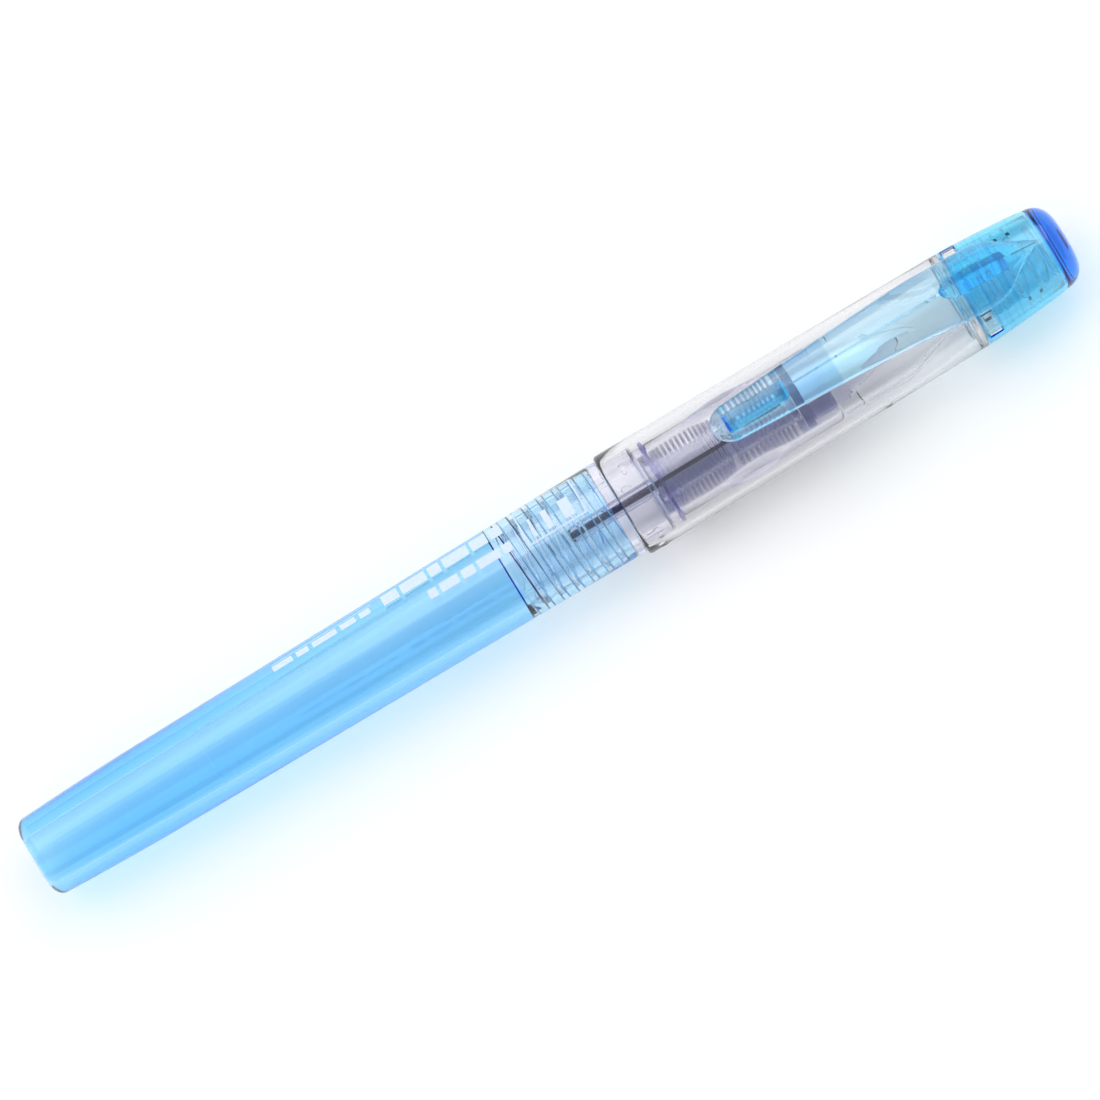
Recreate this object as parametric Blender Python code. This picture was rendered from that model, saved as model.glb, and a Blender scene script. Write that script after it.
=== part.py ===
"""Capped demonstrator fountain pen, lying on its side.

Frame: +X from the barrel's closed end to the cap's crown, +Z up, the clip on
top.  The origin is under the pen's middle, on the surface it lies on.  All
lengths below are millimetres, scaled to metres where the meshes are made.
"""
import bpy
import bmesh
import math
from mathutils import Vector, Matrix

MM = 0.001

# ---------------------------------------------------------------- dimensions
PEN_HALF = 69.0            # half of the 138 mm capped length
AXIS_Z = 6.47              # pen axis above the table: the cap lip's radius

# barrel
BARREL_FRONT = 8.20
BARREL_R_REAR = 5.42       # radius where the long taper starts
BARREL_R_FRONT = 5.97
BARREL_TAPER_X = -52.5     # the rear end draws in behind this station
BARREL_DRAW_IN = 0.47
BARREL_CORNER = (1.4, 1.9)  # end rounding, axial and radial
BARREL_DRAW_END = -67.7    # where the tail's draw-in is measured
BARREL_FLOOR = -68.2       # inside face of the closed end
BORE_R_REAR = 3.10
BORE_R_FRONT = 4.30
SOCKET_X = -5.6            # where the threaded socket starts
SOCKET_R = 5.07

# thread between barrel and grip section, right-handed, single start
PITCH = 1.98
THREAD_X0 = -2.247         # ridge centre line where it crosses the +Y side
GROOVE_DEPTH = 0.32
GROOVE_W = (0.90, 0.58)    # at the bore, at the bottom
RIDGE_HEIGHT = 0.36
RIDGE_W = (0.56, 0.28)     # at the root, at the crest

# grip section
SECTION_TAIL = -3.95
TAIL_R = 4.90
TAIL_BORE = 4.20
FLANGE = (8.25, 9.38)
FLANGE_R = 5.98
PLUG_END = 13.63
PLUG_R = 5.42
GRIP_R = 4.75
GRIP_BORE = 3.85
GRIP_END = 36.69
SWELL_X = 25.2             # finger swell: centre and half length
SWELL_HALF = 5.0
SWELL_OUT = 0.42
SWELL_IN = 0.45
RING_X = (14.60, 15.20)    # groove for the sealing ring
SNAP_X = 11.85             # snap bumps that hold the cap
SNAP_TOP = 5.60

# feed
FEED_GAP = 0.13
FEED_CORE_R = 2.17
FEED_CORE_BORE = 1.80
SPIKE_R = 1.05
SPIKE_BORE = 0.55
SPIKE_TIP = 2.7
FEED_START = 13.75
FEED_BLOCK = (13.75, 15.80)
FEED_END = (31.58, 32.40)
FIN_T = 0.30
FIN_ROWS = ((15.98, 0.47, 2), (17.02, 0.605, 11), (24.22, 0.612, 12))

# nib and its holder
HOLDER = (32.52, 33.50, 38.78)
HOLDER_FLANGE_R = 3.72
HOLDER_R = 3.12
NIB_X = (33.62, 48.70)
NIB_ARC_R = 3.46
NIB_T = 0.20
NIB_ROLL = math.radians(-31.4)

# cartridge
CART_X = (-46.5, 6.0)
CART_R = 3.30
CART_BORE = 2.80
CART_NECK = 1.22

# cap
CAP_LIP = 9.45
CAP_R_LIP = 6.47
CAP_TAPER = 0.00896
CAP_SHELL_END = 55.20
SPIGOT_END = 66.10
STOP_RIB = (54.40, 55.00, 4.10)
SLOT_X = (61.36, 61.66, 62.76, 63.14)
SLOT_ROLL = math.radians(13.6)
LUG_X = (55.72, 57.28)
LUG_HALF = math.radians(17.5)
WINDOW_X = (55.58, 57.42)
WINDOW_HALF = math.radians(20.0)
CROWN_START = 55.28
CROWN_FLOOR = 67.0
CROWN_END_FLAT = 1.3

# inner cap and its spring
INNER_CAP_X = 36.80
INNER_FLANGE = (56.0, 56.9, 4.35)
SPRING_R = 3.32
SPRING_WIRE = 0.38
SPRING_X = (57.46, 66.52)

# clip
CLIP_TIP = 22.6
CLIP_APEX = 66.1
CLIP_TOP = 8.8             # highest point above the pen axis
CLIP_HINGE = (66.1, 5.30)

# facets round the turned pieces
N_BODY = 28
N_CAP = 32
N_INNER = 24
N_FEED = 16


# ------------------------------------------------------------------- helpers
def clear_scene():
    for obj in list(bpy.data.objects):
        bpy.data.objects.remove(obj, do_unlink=True)
    for mesh in list(bpy.data.meshes):
        bpy.data.meshes.remove(mesh)
    for mat in list(bpy.data.materials):
        bpy.data.materials.remove(mat)


def smooth01(u):
    u = min(max(u, 0.0), 1.0)
    return u * u * (3.0 - 2.0 * u)


def lerp_table(table, x):
    """Straight-line reading of a short table of design stations."""
    if x <= table[0][0]:
        return table[0][1]
    for (x0, v0), (x1, v1) in zip(table, table[1:]):
        if x <= x1:
            return v0 + (v1 - v0) * (x - x0) / (x1 - x0)
    return table[-1][1]


def material(name, rgb, rough, transmission=0.0, metallic=0.0, ior=1.585):
    mat = bpy.data.materials.new(name)
    mat.use_nodes = True
    bsdf = mat.node_tree.nodes["Principled BSDF"]
    bsdf.inputs["Base Color"].default_value = (*rgb, 1.0)
    bsdf.inputs["Roughness"].default_value = rough
    bsdf.inputs["Metallic"].default_value = metallic
    bsdf.inputs["Transmission Weight"].default_value = transmission
    bsdf.inputs["IOR"].default_value = ior
    mat.diffuse_color = (*rgb, 1.0)
    return mat


def make_ring(bm, x, r, n):
    if r <= 1e-6:
        return [bm.verts.new((x * MM, 0.0, 0.0))]
    out = []
    for i in range(n):
        a = 2.0 * math.pi * i / n
        out.append(bm.verts.new((x * MM, r * math.cos(a) * MM, r * math.sin(a) * MM)))
    return out


def join_rings(bm, a, b):
    n = max(len(a), len(b))
    for i in range(n):
        k = (i + 1) % n
        quad = [a[i % len(a)], a[k % len(a)], b[k % len(b)], b[i % len(b)]]
        face = []
        for v in quad:
            if v not in face:
                face.append(v)
        if len(face) > 2:
            bm.faces.new(face)


def strip(bm, profile, n):
    """Turn an open line of (x, r) stations about the pen axis."""
    rings = [make_ring(bm, x, r, n) for x, r in profile]
    for a, b in zip(rings, rings[1:]):
        join_rings(bm, a, b)


def helical_band(bm, xa, xb, n, radius, half_widths):
    """Surface between two stations whose rows run along the thread."""
    offs = sorted([-half_widths[0], -half_widths[1], half_widths[1], half_widths[0]])
    lo = int(math.floor((xa - THREAD_X0) / PITCH)) - 3
    hi = int(math.ceil((xb - THREAD_X0) / PITCH)) + 3
    rows = [(m, o) for m in range(lo, hi + 1) for o in offs]
    step = len(offs)

    def vert(i, j):
        m, o = rows[j]
        a = 2.0 * math.pi * i / n
        x = THREAD_X0 + PITCH * (m + i / n) + o
        x = min(max(x, xa), xb)
        r = radius(x, a)
        return bm.verts.new((x * MM, r * math.cos(a) * MM, r * math.sin(a) * MM))

    grid = [[vert(i, j) for j in range(len(rows))] for i in range(n)]
    for i in range(n):
        for j in range(len(rows) - 1):
            if i < n - 1:
                quad = [grid[i][j], grid[i + 1][j], grid[i + 1][j + 1], grid[i][j + 1]]
            else:
                if j + 1 + step >= len(rows):
                    continue
                quad = [grid[i][j], grid[0][j + step], grid[0][j + 1 + step], grid[i][j + 1]]
            bm.faces.new(quad)


def thread_radius(base, height, half_widths, x_run_in, x_run_out):
    def fn(x, a):
        u = (x - THREAD_X0) / PITCH - a / (2.0 * math.pi)
        d = abs(u - round(u)) * PITCH
        w0, w1 = half_widths
        k = 1.0 if d <= w1 else max(0.0, (w0 - d) / (w0 - w1))
        if x_run_in is not None:
            k *= smooth01((x - x_run_in) / 0.7)
        if x_run_out is not None:
            k *= smooth01((x_run_out - x) / 0.7)
        return base + height * k
    return fn


def finish_mesh(name, bm, mat, location=(0.0, 0.0, AXIS_Z), merge=2e-6):
    bmesh.ops.remove_doubles(bm, verts=bm.verts, dist=merge)
    bmesh.ops.dissolve_degenerate(bm, edges=bm.edges, dist=1e-6)
    loose = [v for v in bm.verts if not v.link_faces]
    bmesh.ops.delete(bm, geom=loose, context="VERTS")
    bmesh.ops.recalc_face_normals(bm, faces=bm.faces)
    if bm.calc_volume(signed=True) < 0:
        bmesh.ops.reverse_faces(bm, faces=bm.faces)
    mesh = bpy.data.meshes.new(name)
    bm.to_mesh(mesh)
    bm.free()
    mesh.shade_smooth()
    mesh.set_sharp_from_angle(angle=math.radians(32))
    obj = bpy.data.objects.new(name, mesh)
    bpy.context.scene.collection.objects.link(obj)
    obj.location = [c * MM for c in location]
    if mat is not None:
        mesh.materials.append(mat)
    return obj


def turned(name, profile, n, mat):
    """Closed solid of revolution from a closed or axis-to-axis profile."""
    bm = bmesh.new()
    if profile[0][1] > 1e-6:
        profile = list(profile) + [profile[0]]
    strip(bm, profile, n)
    return finish_mesh(name, bm, mat)


def cutter(name, bm, location=(0.0, 0.0, AXIS_Z)):
    obj = finish_mesh(name, bm, None, location)
    obj.display_type = "WIRE"
    obj.hide_render = True
    return obj


def boolean(obj, tool, operation):
    mod = obj.modifiers.new(tool.name, "BOOLEAN")
    mod.object = tool
    mod.operation = operation
    mod.solver = "EXACT"


def box(bm, lo, hi, matrix=Matrix.Identity(4)):
    res = bmesh.ops.create_cube(bm, size=1.0)
    size = Vector([(h - l) * MM for l, h in zip(lo, hi)])
    mid = Vector([(h + l) * 0.5 * MM for l, h in zip(lo, hi)])
    for v in res["verts"]:
        v.co = matrix @ (Vector([c * s for c, s in zip(v.co, size)]) + mid)
    return res["verts"]


def extruded(bm, outline, y0, y1):
    """Side outline of (x, z) points carried from y0 to y1."""
    a = [bm.verts.new((x * MM, y0 * MM, z * MM)) for x, z in outline]
    b = [bm.verts.new((x * MM, y1 * MM, z * MM)) for x, z in outline]
    bm.faces.new(a)
    bm.faces.new(list(reversed(b)))
    n = len(a)
    for i in range(n):
        k = (i + 1) % n
        bm.faces.new([a[k], a[i], b[i], b[k]])


# ------------------------------------------------------------- shape formulas
def barrel_outer(x):
    if x >= BARREL_TAPER_X:
        k = (x - BARREL_TAPER_X) / (BARREL_FRONT - BARREL_TAPER_X)
        return BARREL_R_REAR + (BARREL_R_FRONT - BARREL_R_REAR) * k
    u = (BARREL_TAPER_X - x) / (BARREL_TAPER_X - BARREL_DRAW_END)
    return BARREL_R_REAR - BARREL_DRAW_IN * u ** 1.5


def barrel_bore(x):
    x0 = BARREL_FLOOR + 0.8
    return BORE_R_REAR + (BORE_R_FRONT - BORE_R_REAR) * (x - x0) / (SOCKET_X - x0)


def swell(x):
    u = (x - SWELL_X) / SWELL_HALF
    return math.cos(0.5 * math.pi * u) ** 2 if abs(u) < 1.0 else 0.0


def grip_outer(x):
    return GRIP_R + SWELL_OUT * swell(x)


def grip_bore(x):
    return GRIP_BORE - SWELL_IN * swell(x)


def cap_outer(x):
    return CAP_R_LIP - CAP_TAPER * max(0.0, x - 10.0)


def spigot_outer(x):
    return lerp_table(((CAP_SHELL_END, 5.38), (57.7, 5.28), (SPIGOT_END, 4.72)), x)


def cap_bore(x):
    return lerp_table(((9.9, 5.72), (13.6, 5.66), (46.4, 5.48), (54.1, 4.80),
                       (57.7, 4.68), (SPIGOT_END, 4.25)), x)


def crown_outer(x):
    if x <= 66.1:
        return lerp_table(((CROWN_START, 6.03), (57.2, 5.96), (59.6, 5.82),
                           (61.9, 5.64), (64.3, 5.43), (66.1, 5.18)), x)
    u = min(1.0, (x - 66.1) / (PEN_HALF - 66.1))
    return 5.18 * max(1.0 - u * u, 0.0) ** (1.0 / 3.9)


def clip_half_width(x):
    if x < 25.2:
        u = (25.2 - x) / (25.2 - CLIP_TIP)
        return max(0.45, 2.28 * math.sqrt(max(0.0, 1.0 - u * u)))
    if x < 54.7:
        return 2.28 + 0.0545 * (x - 25.2)
    return lerp_table(((54.7, 3.888), (58.4, 3.80), (60.6, 3.30), (62.0, 2.35),
                       (CLIP_APEX, 0.22)), x)


def clip_top(x):
    return lerp_table(((CLIP_TIP, 7.98), (23.4, 8.20), (25.0, 8.36), (30.0, 8.60),
                       (38.0, 8.78), (44.0, CLIP_TOP), (51.0, 8.76), (54.7, 8.60),
                       (57.5, 8.25), (60.0, 7.70), (62.5, 6.92), (64.5, 6.15),
                       (CLIP_APEX, 5.56)), x)


def clip_drop(x):
    return lerp_table(((CLIP_TIP, 0.28), (26.0, 0.62), (44.0, 0.85), (50.0, 1.30),
                       (54.7, 2.65), (59.0, 2.55), (62.0, 1.25), (CLIP_APEX, 0.04)), x)


def clip_thick(x):
    return lerp_table(((CLIP_TIP, 0.62), (24.2, 0.98), (30.0, 1.12), (56.0, 1.12),
                       (62.0, 0.90), (CLIP_APEX, 0.28)), x)


# --------------------------------------------------------------------- pieces
def make_barrel(mat):
    bm = bmesh.new()
    ax, rad = BARREL_CORNER
    x_c = -PEN_HALF + ax
    r_c = barrel_outer(x_c) - rad
    outer = [(-68.86, 0.0), (-68.88, 0.50), (-PEN_HALF, 0.75), (-PEN_HALF, r_c)]
    for k in (1, 2, 3):
        a = 0.5 * math.pi * k / 4
        outer.append((x_c - ax * math.cos(a), r_c + rad * math.sin(a)))
    outer.append((x_c, barrel_outer(x_c)))
    for x in (-62.5, -57.0, BARREL_TAPER_X, BARREL_FRONT - 0.14):
        outer.append((x, barrel_outer(x)))
    outer.append((BARREL_FRONT, barrel_outer(BARREL_FRONT) - 0.12))
    strip(bm, outer, N_BODY)

    half = (GROOVE_W[0] / 2, GROOVE_W[1] / 2)
    fn = thread_radius(SOCKET_R, GROOVE_DEPTH, half, SOCKET_X + 0.35, None)
    helical_band(bm, SOCKET_X, BARREL_FRONT, N_BODY, fn, half)

    # front face, from the rim to the grooved bore
    rim = make_ring(bm, *outer[-1], N_BODY)
    lip = []
    for i in range(N_BODY):
        a = 2.0 * math.pi * i / N_BODY
        r = fn(BARREL_FRONT, a)
        lip.append(bm.verts.new((BARREL_FRONT * MM, r * math.cos(a) * MM,
                                 r * math.sin(a) * MM)))
    join_rings(bm, rim, lip)

    inner = [(SOCKET_X, SOCKET_R), (SOCKET_X, BORE_R_FRONT),
             (BARREL_FLOOR + 0.8, BORE_R_REAR), (BARREL_FLOOR + 0.23, BORE_R_REAR - 0.24),
             (BARREL_FLOOR, BORE_R_REAR - 0.8), (BARREL_FLOOR, 0.0)]
    strip(bm, inner, N_BODY)
    return finish_mesh("barrel", bm, mat)


def make_section(mat):
    bm = bmesh.new()
    half = (RIDGE_W[0] / 2, RIDGE_W[1] / 2)
    t0, t1 = SECTION_TAIL + 0.12, 5.65
    fn = thread_radius(TAIL_R, RIDGE_HEIGHT, half, t0, t1)
    helical_band(bm, t0, t1, N_BODY, fn, half)

    outer = [(t1, TAIL_R), (FLANGE[0], TAIL_R), (FLANGE[0], FLANGE_R - 0.10),
             (FLANGE[0] + 0.10, FLANGE_R), (FLANGE[1] - 0.10, FLANGE_R),
             (FLANGE[1], FLANGE_R - 0.10), (FLANGE[1], PLUG_R),
             (PLUG_END - 0.15, PLUG_R - 0.04), (PLUG_END, PLUG_R - 0.2),
             (PLUG_END, GRIP_R), (RING_X[0], GRIP_R), (RING_X[0], GRIP_R - 0.20),
             (RING_X[1], GRIP_R - 0.20), (RING_X[1], GRIP_R)]
    n_sw = 8
    swell_x = [SWELL_X - SWELL_HALF + 2 * SWELL_HALF * k / n_sw for k in range(n_sw + 1)]
    outer += [(x, grip_outer(x)) for x in swell_x]
    outer += [(GRIP_END - 0.35, GRIP_R - 0.03), (GRIP_END - 0.10, GRIP_R - 0.13),
              (GRIP_END, GRIP_R - 0.35)]
    inner = [(GRIP_END, GRIP_BORE + 0.12), (GRIP_END - 0.15, GRIP_BORE)]
    inner += [(x, grip_bore(x)) for x in reversed(swell_x)]
    inner += [(13.30, GRIP_BORE), (12.95, TAIL_BORE), (SECTION_TAIL + 0.25, TAIL_BORE),
              (SECTION_TAIL, TAIL_BORE + 0.25), (SECTION_TAIL, TAIL_R - 0.12), (t0, TAIL_R)]
    strip(bm, outer + inner, N_BODY)
    section = finish_mesh("grip_section", bm, mat)

    bumps = bmesh.new()
    for k in range(3):
        a = math.radians(61.6 + 120.0 * k)
        size = 0.75
        res = bmesh.ops.create_uvsphere(bumps, u_segments=10, v_segments=6,
                                        radius=size * MM)
        # long way round the plug, short way along it
        rot = Matrix.Rotation(a - 0.5 * math.pi, 4, "X")
        for v in res["verts"]:
            v.co = Vector((v.co.x * 0.72, v.co.y * 1.05, v.co.z))
            v.co = rot @ (v.co + Vector((SNAP_X * MM, 0.0, (SNAP_TOP - size) * MM)))
    tool = cutter("snap_bump_tool", bumps)
    boolean(section, tool, "UNION")
    return section


def make_feed(mat):
    prof = [(SPIKE_TIP, SPIKE_BORE), (SPIKE_TIP, SPIKE_R - 0.28),
            (SPIKE_TIP + 0.9, SPIKE_R), (FEED_BLOCK[0], SPIKE_R)]

    def disc(x0, x1, r0, r1, foot):
        prof.extend([(x0, foot), (x0, r0), (x1, r1), (x1, foot)])

    def tip(x):
        return grip_bore(x) - FEED_GAP

    prof.extend([(FEED_BLOCK[0], tip(FEED_BLOCK[0])), (FEED_BLOCK[1], tip(FEED_BLOCK[1])),
                 (FEED_BLOCK[1], FEED_CORE_R)])
    for x_first, pitch, count in FIN_ROWS:
        for i in range(count):
            x = x_first + pitch * i
            disc(x - FIN_T / 2, x + FIN_T / 2, tip(x), tip(x), FEED_CORE_R)
    prof.extend([(FEED_END[0], FEED_CORE_R), (FEED_END[0], tip(FEED_END[0])),
                 (FEED_END[1], tip(FEED_END[1])), (FEED_END[1], FEED_CORE_BORE),
                 (FEED_START + 0.35, FEED_CORE_BORE), (FEED_START + 0.15, SPIKE_BORE)])
    return turned("feed_collector", prof, N_FEED, mat)


def make_ink_channel(mat):
    """Capillary rod down the spike, widening to a half-round wick in the core."""
    bm = bmesh.new()
    n = 12
    stations = [(SPIKE_TIP + 0.15, 0.40, 0.0), (FEED_START - 0.05, 0.40, 0.0),
                (FEED_START + 0.55, 0.40, 0.0), (FEED_START + 0.60, 1.62, 1.0),
                (FEED_END[1] - 0.15, 1.62, 1.0)]
    rings = []
    for x, r, flat in stations:
        ring = []
        for i in range(n):
            a = 2.0 * math.pi * i / n
            y, z = r * math.cos(a), r * math.sin(a)
            if flat:
                y = min(y, 0.34)          # the flat side faces +Y before the roll
            ring.append(bm.verts.new((x * MM, y * MM, z * MM)))
        rings.append(ring)
    for a, b in zip(rings, rings[1:]):
        join_rings(bm, a, b)
    bm.faces.new(rings[0])
    bm.faces.new(list(reversed(rings[-1])))
    bmesh.ops.rotate(bm, verts=bm.verts, cent=(0, 0, 0),
                     matrix=Matrix.Rotation(SLOT_ROLL, 3, "X"))
    return finish_mesh("ink_channel", bm, mat)


def nib_drop(x):
    return 2.82 * max(0.0, (x - 39.5) / (NIB_X[1] - 39.5)) ** 1.7


def make_holder(mat):
    bm = bmesh.new()
    x0, x1, x2 = HOLDER
    strip(bm, [(x0, 0.0), (x0, HOLDER_FLANGE_R), (x1, HOLDER_FLANGE_R), (x1, HOLDER_R),
               (x2 - 0.3, HOLDER_R), (x2, HOLDER_R - 0.25), (x2, 0.0)], N_INNER)
    holder = finish_mesh("nib_holder", bm, mat)

    # feed nose under the nib: a tapering half-round tongue
    nose = bmesh.new()
    n = 12
    rings = []
    for k in range(7):
        u = k / 6.0
        x = x2 - 0.6 + (46.4 - x2 + 0.6) * u
        r = 2.35 * (1.0 - u) ** 0.75 + 0.55
        lift = 0.15 + 0.45 * u
        ceiling = NIB_ARC_R - NIB_T - 0.35 - nib_drop(x)
        ring = []
        for i in range(n):
            a = 2.0 * math.pi * i / n
            y, z = r * math.cos(a), r * math.sin(a) + lift
            ring.append(nose.verts.new((x * MM, y * MM, min(z, ceiling * 0.92) * MM)))
        rings.append(ring)
    for a, b in zip(rings, rings[1:]):
        join_rings(nose, a, b)
    nose.faces.new(rings[0])
    nose.faces.new(list(reversed(rings[-1])))
    bmesh.ops.rotate(nose, verts=nose.verts, cent=(0, 0, 0),
                     matrix=Matrix.Rotation(NIB_ROLL, 3, "X"))
    boolean(holder, cutter("feed_nose_tool", nose), "UNION")
    return holder


def nib_half_width(x):
    if x < 40.0:
        return 3.05
    u = (x - 40.0) / (NIB_X[1] - 40.0)
    return 3.05 * (1.0 - u) ** 1.15 + 0.28 * u


def make_nib(mat):
    bm = bmesh.new()
    nx, na = 14, 8
    top, under = [], []
    for j in range(nx + 1):
        u = j / nx
        x = NIB_X[0] + (NIB_X[1] - NIB_X[0]) * (u ** 0.85)
        w = nib_half_width(x)
        drop = nib_drop(x)
        phi = math.asin(min(0.95, w / NIB_ARC_R))
        row_t, row_u = [], []
        for i in range(na + 1):
            a = -phi + 2 * phi * i / na
            for row, rr in ((row_t, NIB_ARC_R), (row_u, NIB_ARC_R - NIB_T)):
                row.append(bm.verts.new((x * MM, rr * math.sin(a) * MM,
                                         (rr * math.cos(a) - drop) * MM)))
        top.append(row_t)
        under.append(row_u)
    for j in range(nx):
        for i in range(na):
            bm.faces.new([top[j][i], top[j][i + 1], top[j + 1][i + 1], top[j + 1][i]])
            bm.faces.new([under[j][i], under[j + 1][i], under[j + 1][i + 1], under[j][i + 1]])
        for i in (0, na):
            bm.faces.new([top[j][i], top[j + 1][i], under[j + 1][i], under[j][i]])
    for j in (0, nx):
        for i in range(na):
            bm.faces.new([top[j][i], under[j][i], under[j][i + 1], top[j][i + 1]])
    bmesh.ops.rotate(bm, verts=bm.verts, cent=(0, 0, 0),
                     matrix=Matrix.Rotation(NIB_ROLL, 3, "X"))
    nib = finish_mesh("nib", bm, mat)

    cut = bmesh.new()
    res = bmesh.ops.create_cone(cut, cap_ends=True, cap_tris=False, segments=12,
                                radius1=0.42 * MM, radius2=0.42 * MM, depth=4.0 * MM)
    bmesh.ops.translate(cut, verts=res["verts"], vec=(43.2 * MM, 0.0, 3.2 * MM))
    bmesh.ops.rotate(cut, verts=cut.verts, cent=(0, 0, 0),
                     matrix=Matrix.Rotation(NIB_ROLL, 3, "X"))
    boolean(nib, cutter("breather_hole_tool", cut), "DIFFERENCE")
    slit = bmesh.new()
    box(slit, (43.3, -0.05, -1.0), (NIB_X[1] + 1.0, 0.05, 5.0))
    bmesh.ops.rotate(slit, verts=slit.verts, cent=(0, 0, 0),
                     matrix=Matrix.Rotation(NIB_ROLL, 3, "X"))
    boolean(nib, cutter("slit_tool", slit), "DIFFERENCE")
    return nib


def make_cartridge(mat):
    a, b = CART_X
    prof = [(a, 0.0), (a, CART_R - 0.7), (a + 0.2, CART_R - 0.2), (a + 0.7, CART_R),
            (b - 0.4, CART_R), (b, CART_R - 0.4), (b, CART_NECK),
            (b - 1.2, CART_NECK), (b - 1.2, CART_BORE - 0.3), (b - 1.6, CART_BORE),
            (a + 1.1, CART_BORE), (a + 0.6, CART_BORE - 0.5), (a + 0.6, 0.0)]
    return turned("cartridge", prof, N_INNER, mat)


def make_ring_seal(mat):
    lo, hi = RING_X[0] + 0.06, RING_X[1] - 0.06
    r0, r1 = GRIP_R - 0.12, 5.25
    prof = [(lo, r0), (lo, r1 - 0.10), (lo + 0.12, r1), (hi - 0.12, r1),
            (hi, r1 - 0.10), (hi, r0)]
    return turned("sealing_ring", prof, N_INNER, mat)


def make_cap_tube(mat):
    prof = [(CAP_LIP, 5.88), (CAP_LIP, 6.12), (CAP_LIP + 0.16, 6.36),
            (CAP_LIP + 0.50, CAP_R_LIP)]
    for x in (22.0, 38.0, CAP_SHELL_END):
        prof.append((x, cap_outer(x)))
    prof += [(CAP_SHELL_END, spigot_outer(CAP_SHELL_END)), (57.7, spigot_outer(57.7)),
             (SPIGOT_END - 0.1, spigot_outer(SPIGOT_END)), (SPIGOT_END, 4.64),
             (SPIGOT_END, cap_bore(SPIGOT_END)), (57.7, cap_bore(57.7)),
             (STOP_RIB[1] + 0.12, cap_bore(STOP_RIB[1] + 0.12)), (STOP_RIB[1], STOP_RIB[2]),
             (STOP_RIB[0], STOP_RIB[2]), (STOP_RIB[0] - 0.3, cap_bore(STOP_RIB[0] - 0.3)),
             (46.4, cap_bore(46.4)), (13.6, cap_bore(13.6)), (9.9, cap_bore(9.9))]
    tube = turned("cap_tube", prof, N_CAP, mat)

    lugs = bmesh.new()
    for k in (-1, 1, 3):
        a = math.radians(90.0 + 60.0 * k)
        sector(lugs, LUG_X[0], LUG_X[1], 5.05, 5.84, a, LUG_HALF, 4)
    boolean(tube, cutter("lug_tool", lugs), "UNION")

    slots = bmesh.new()
    turn = Matrix.Rotation(SLOT_ROLL, 4, "X")
    for x0, x1 in ((SLOT_X[0], SLOT_X[1]), (SLOT_X[2], SLOT_X[3])):
        box(slots, (x0, -7.0, -2.1), (x1, 7.0, 2.1), turn)
    boolean(tube, cutter("slot_tool", slots), "DIFFERENCE")
    return tube


def sector(bm, x0, x1, r0, r1, mid, half, n):
    """Block that follows the wall: a sector of a ring."""
    rows = []
    for i in range(n + 1):
        a = mid - half + 2 * half * i / n
        rows.append([bm.verts.new((x * MM, r * math.cos(a) * MM, r * math.sin(a) * MM))
                     for x, r in ((x0, r0), (x1, r0), (x1, r1), (x0, r1))])
    for a, b in zip(rows, rows[1:]):
        for k in range(4):
            m = (k + 1) % 4
            bm.faces.new([a[k], a[m], b[m], b[k]])
    bm.faces.new(list(reversed(rows[0])))
    bm.faces.new(rows[-1])


def make_crown(mat):
    prof = [(CROWN_START, 5.50), (CROWN_START, crown_outer(CROWN_START) - 0.06),
            (CROWN_START + 0.08, crown_outer(CROWN_START))]
    for x in (57.2, 59.6, 61.9, 64.3, 66.1, 67.2, 68.0, 68.55, 68.9):
        prof.append((x, crown_outer(x)))
    prof += [(PEN_HALF, CROWN_END_FLAT), (PEN_HALF, 0.0)]
    inner = [(CROWN_FLOOR, 0.0), (CROWN_FLOOR, 3.9), (66.75, 4.45), (66.2, 4.80),
             (57.7, 5.38), (CROWN_START, 5.50)]
    bm = bmesh.new()
    strip(bm, list(reversed(prof)), N_CAP)
    strip(bm, inner, N_CAP)
    crown = finish_mesh("cap_crown", bm, mat)

    windows = bmesh.new()
    for k in (-1, 1, 3):
        a = math.radians(90.0 + 60.0 * k)
        sector(windows, WINDOW_X[0], WINDOW_X[1], 5.0, 6.6, a, WINDOW_HALF, 4)
    boolean(crown, cutter("window_tool", windows), "DIFFERENCE")
    return crown


def make_inner_cap(mat):
    x0 = INNER_CAP_X
    f0, f1, fr = INNER_FLANGE
    prof = [(57.8, 0.0), (57.8, 1.3), (57.5, 1.60), (56.2, 1.70), (55.3, 2.28),
            (51.4, 2.36), (45.8, 3.90), (x0 + 0.25, 3.90),
            (x0, 4.02), (x0, 4.38), (x0 + 0.2, 4.50), (39.55, 4.50), (39.75, 4.80),
            (45.6, 4.80), (46.4, 4.62), (51.9, 3.02), (f0 - 0.05, 2.96), (f0, fr - 0.1),
            (f0 + 0.1, fr), (f1 - 0.1, fr), (f1, fr - 0.1), (f1, 2.35), (58.3, 2.20),
            (58.5, 2.0), (58.5, 0.0)]
    return turned("inner_cap", prof, N_INNER, mat)


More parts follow.
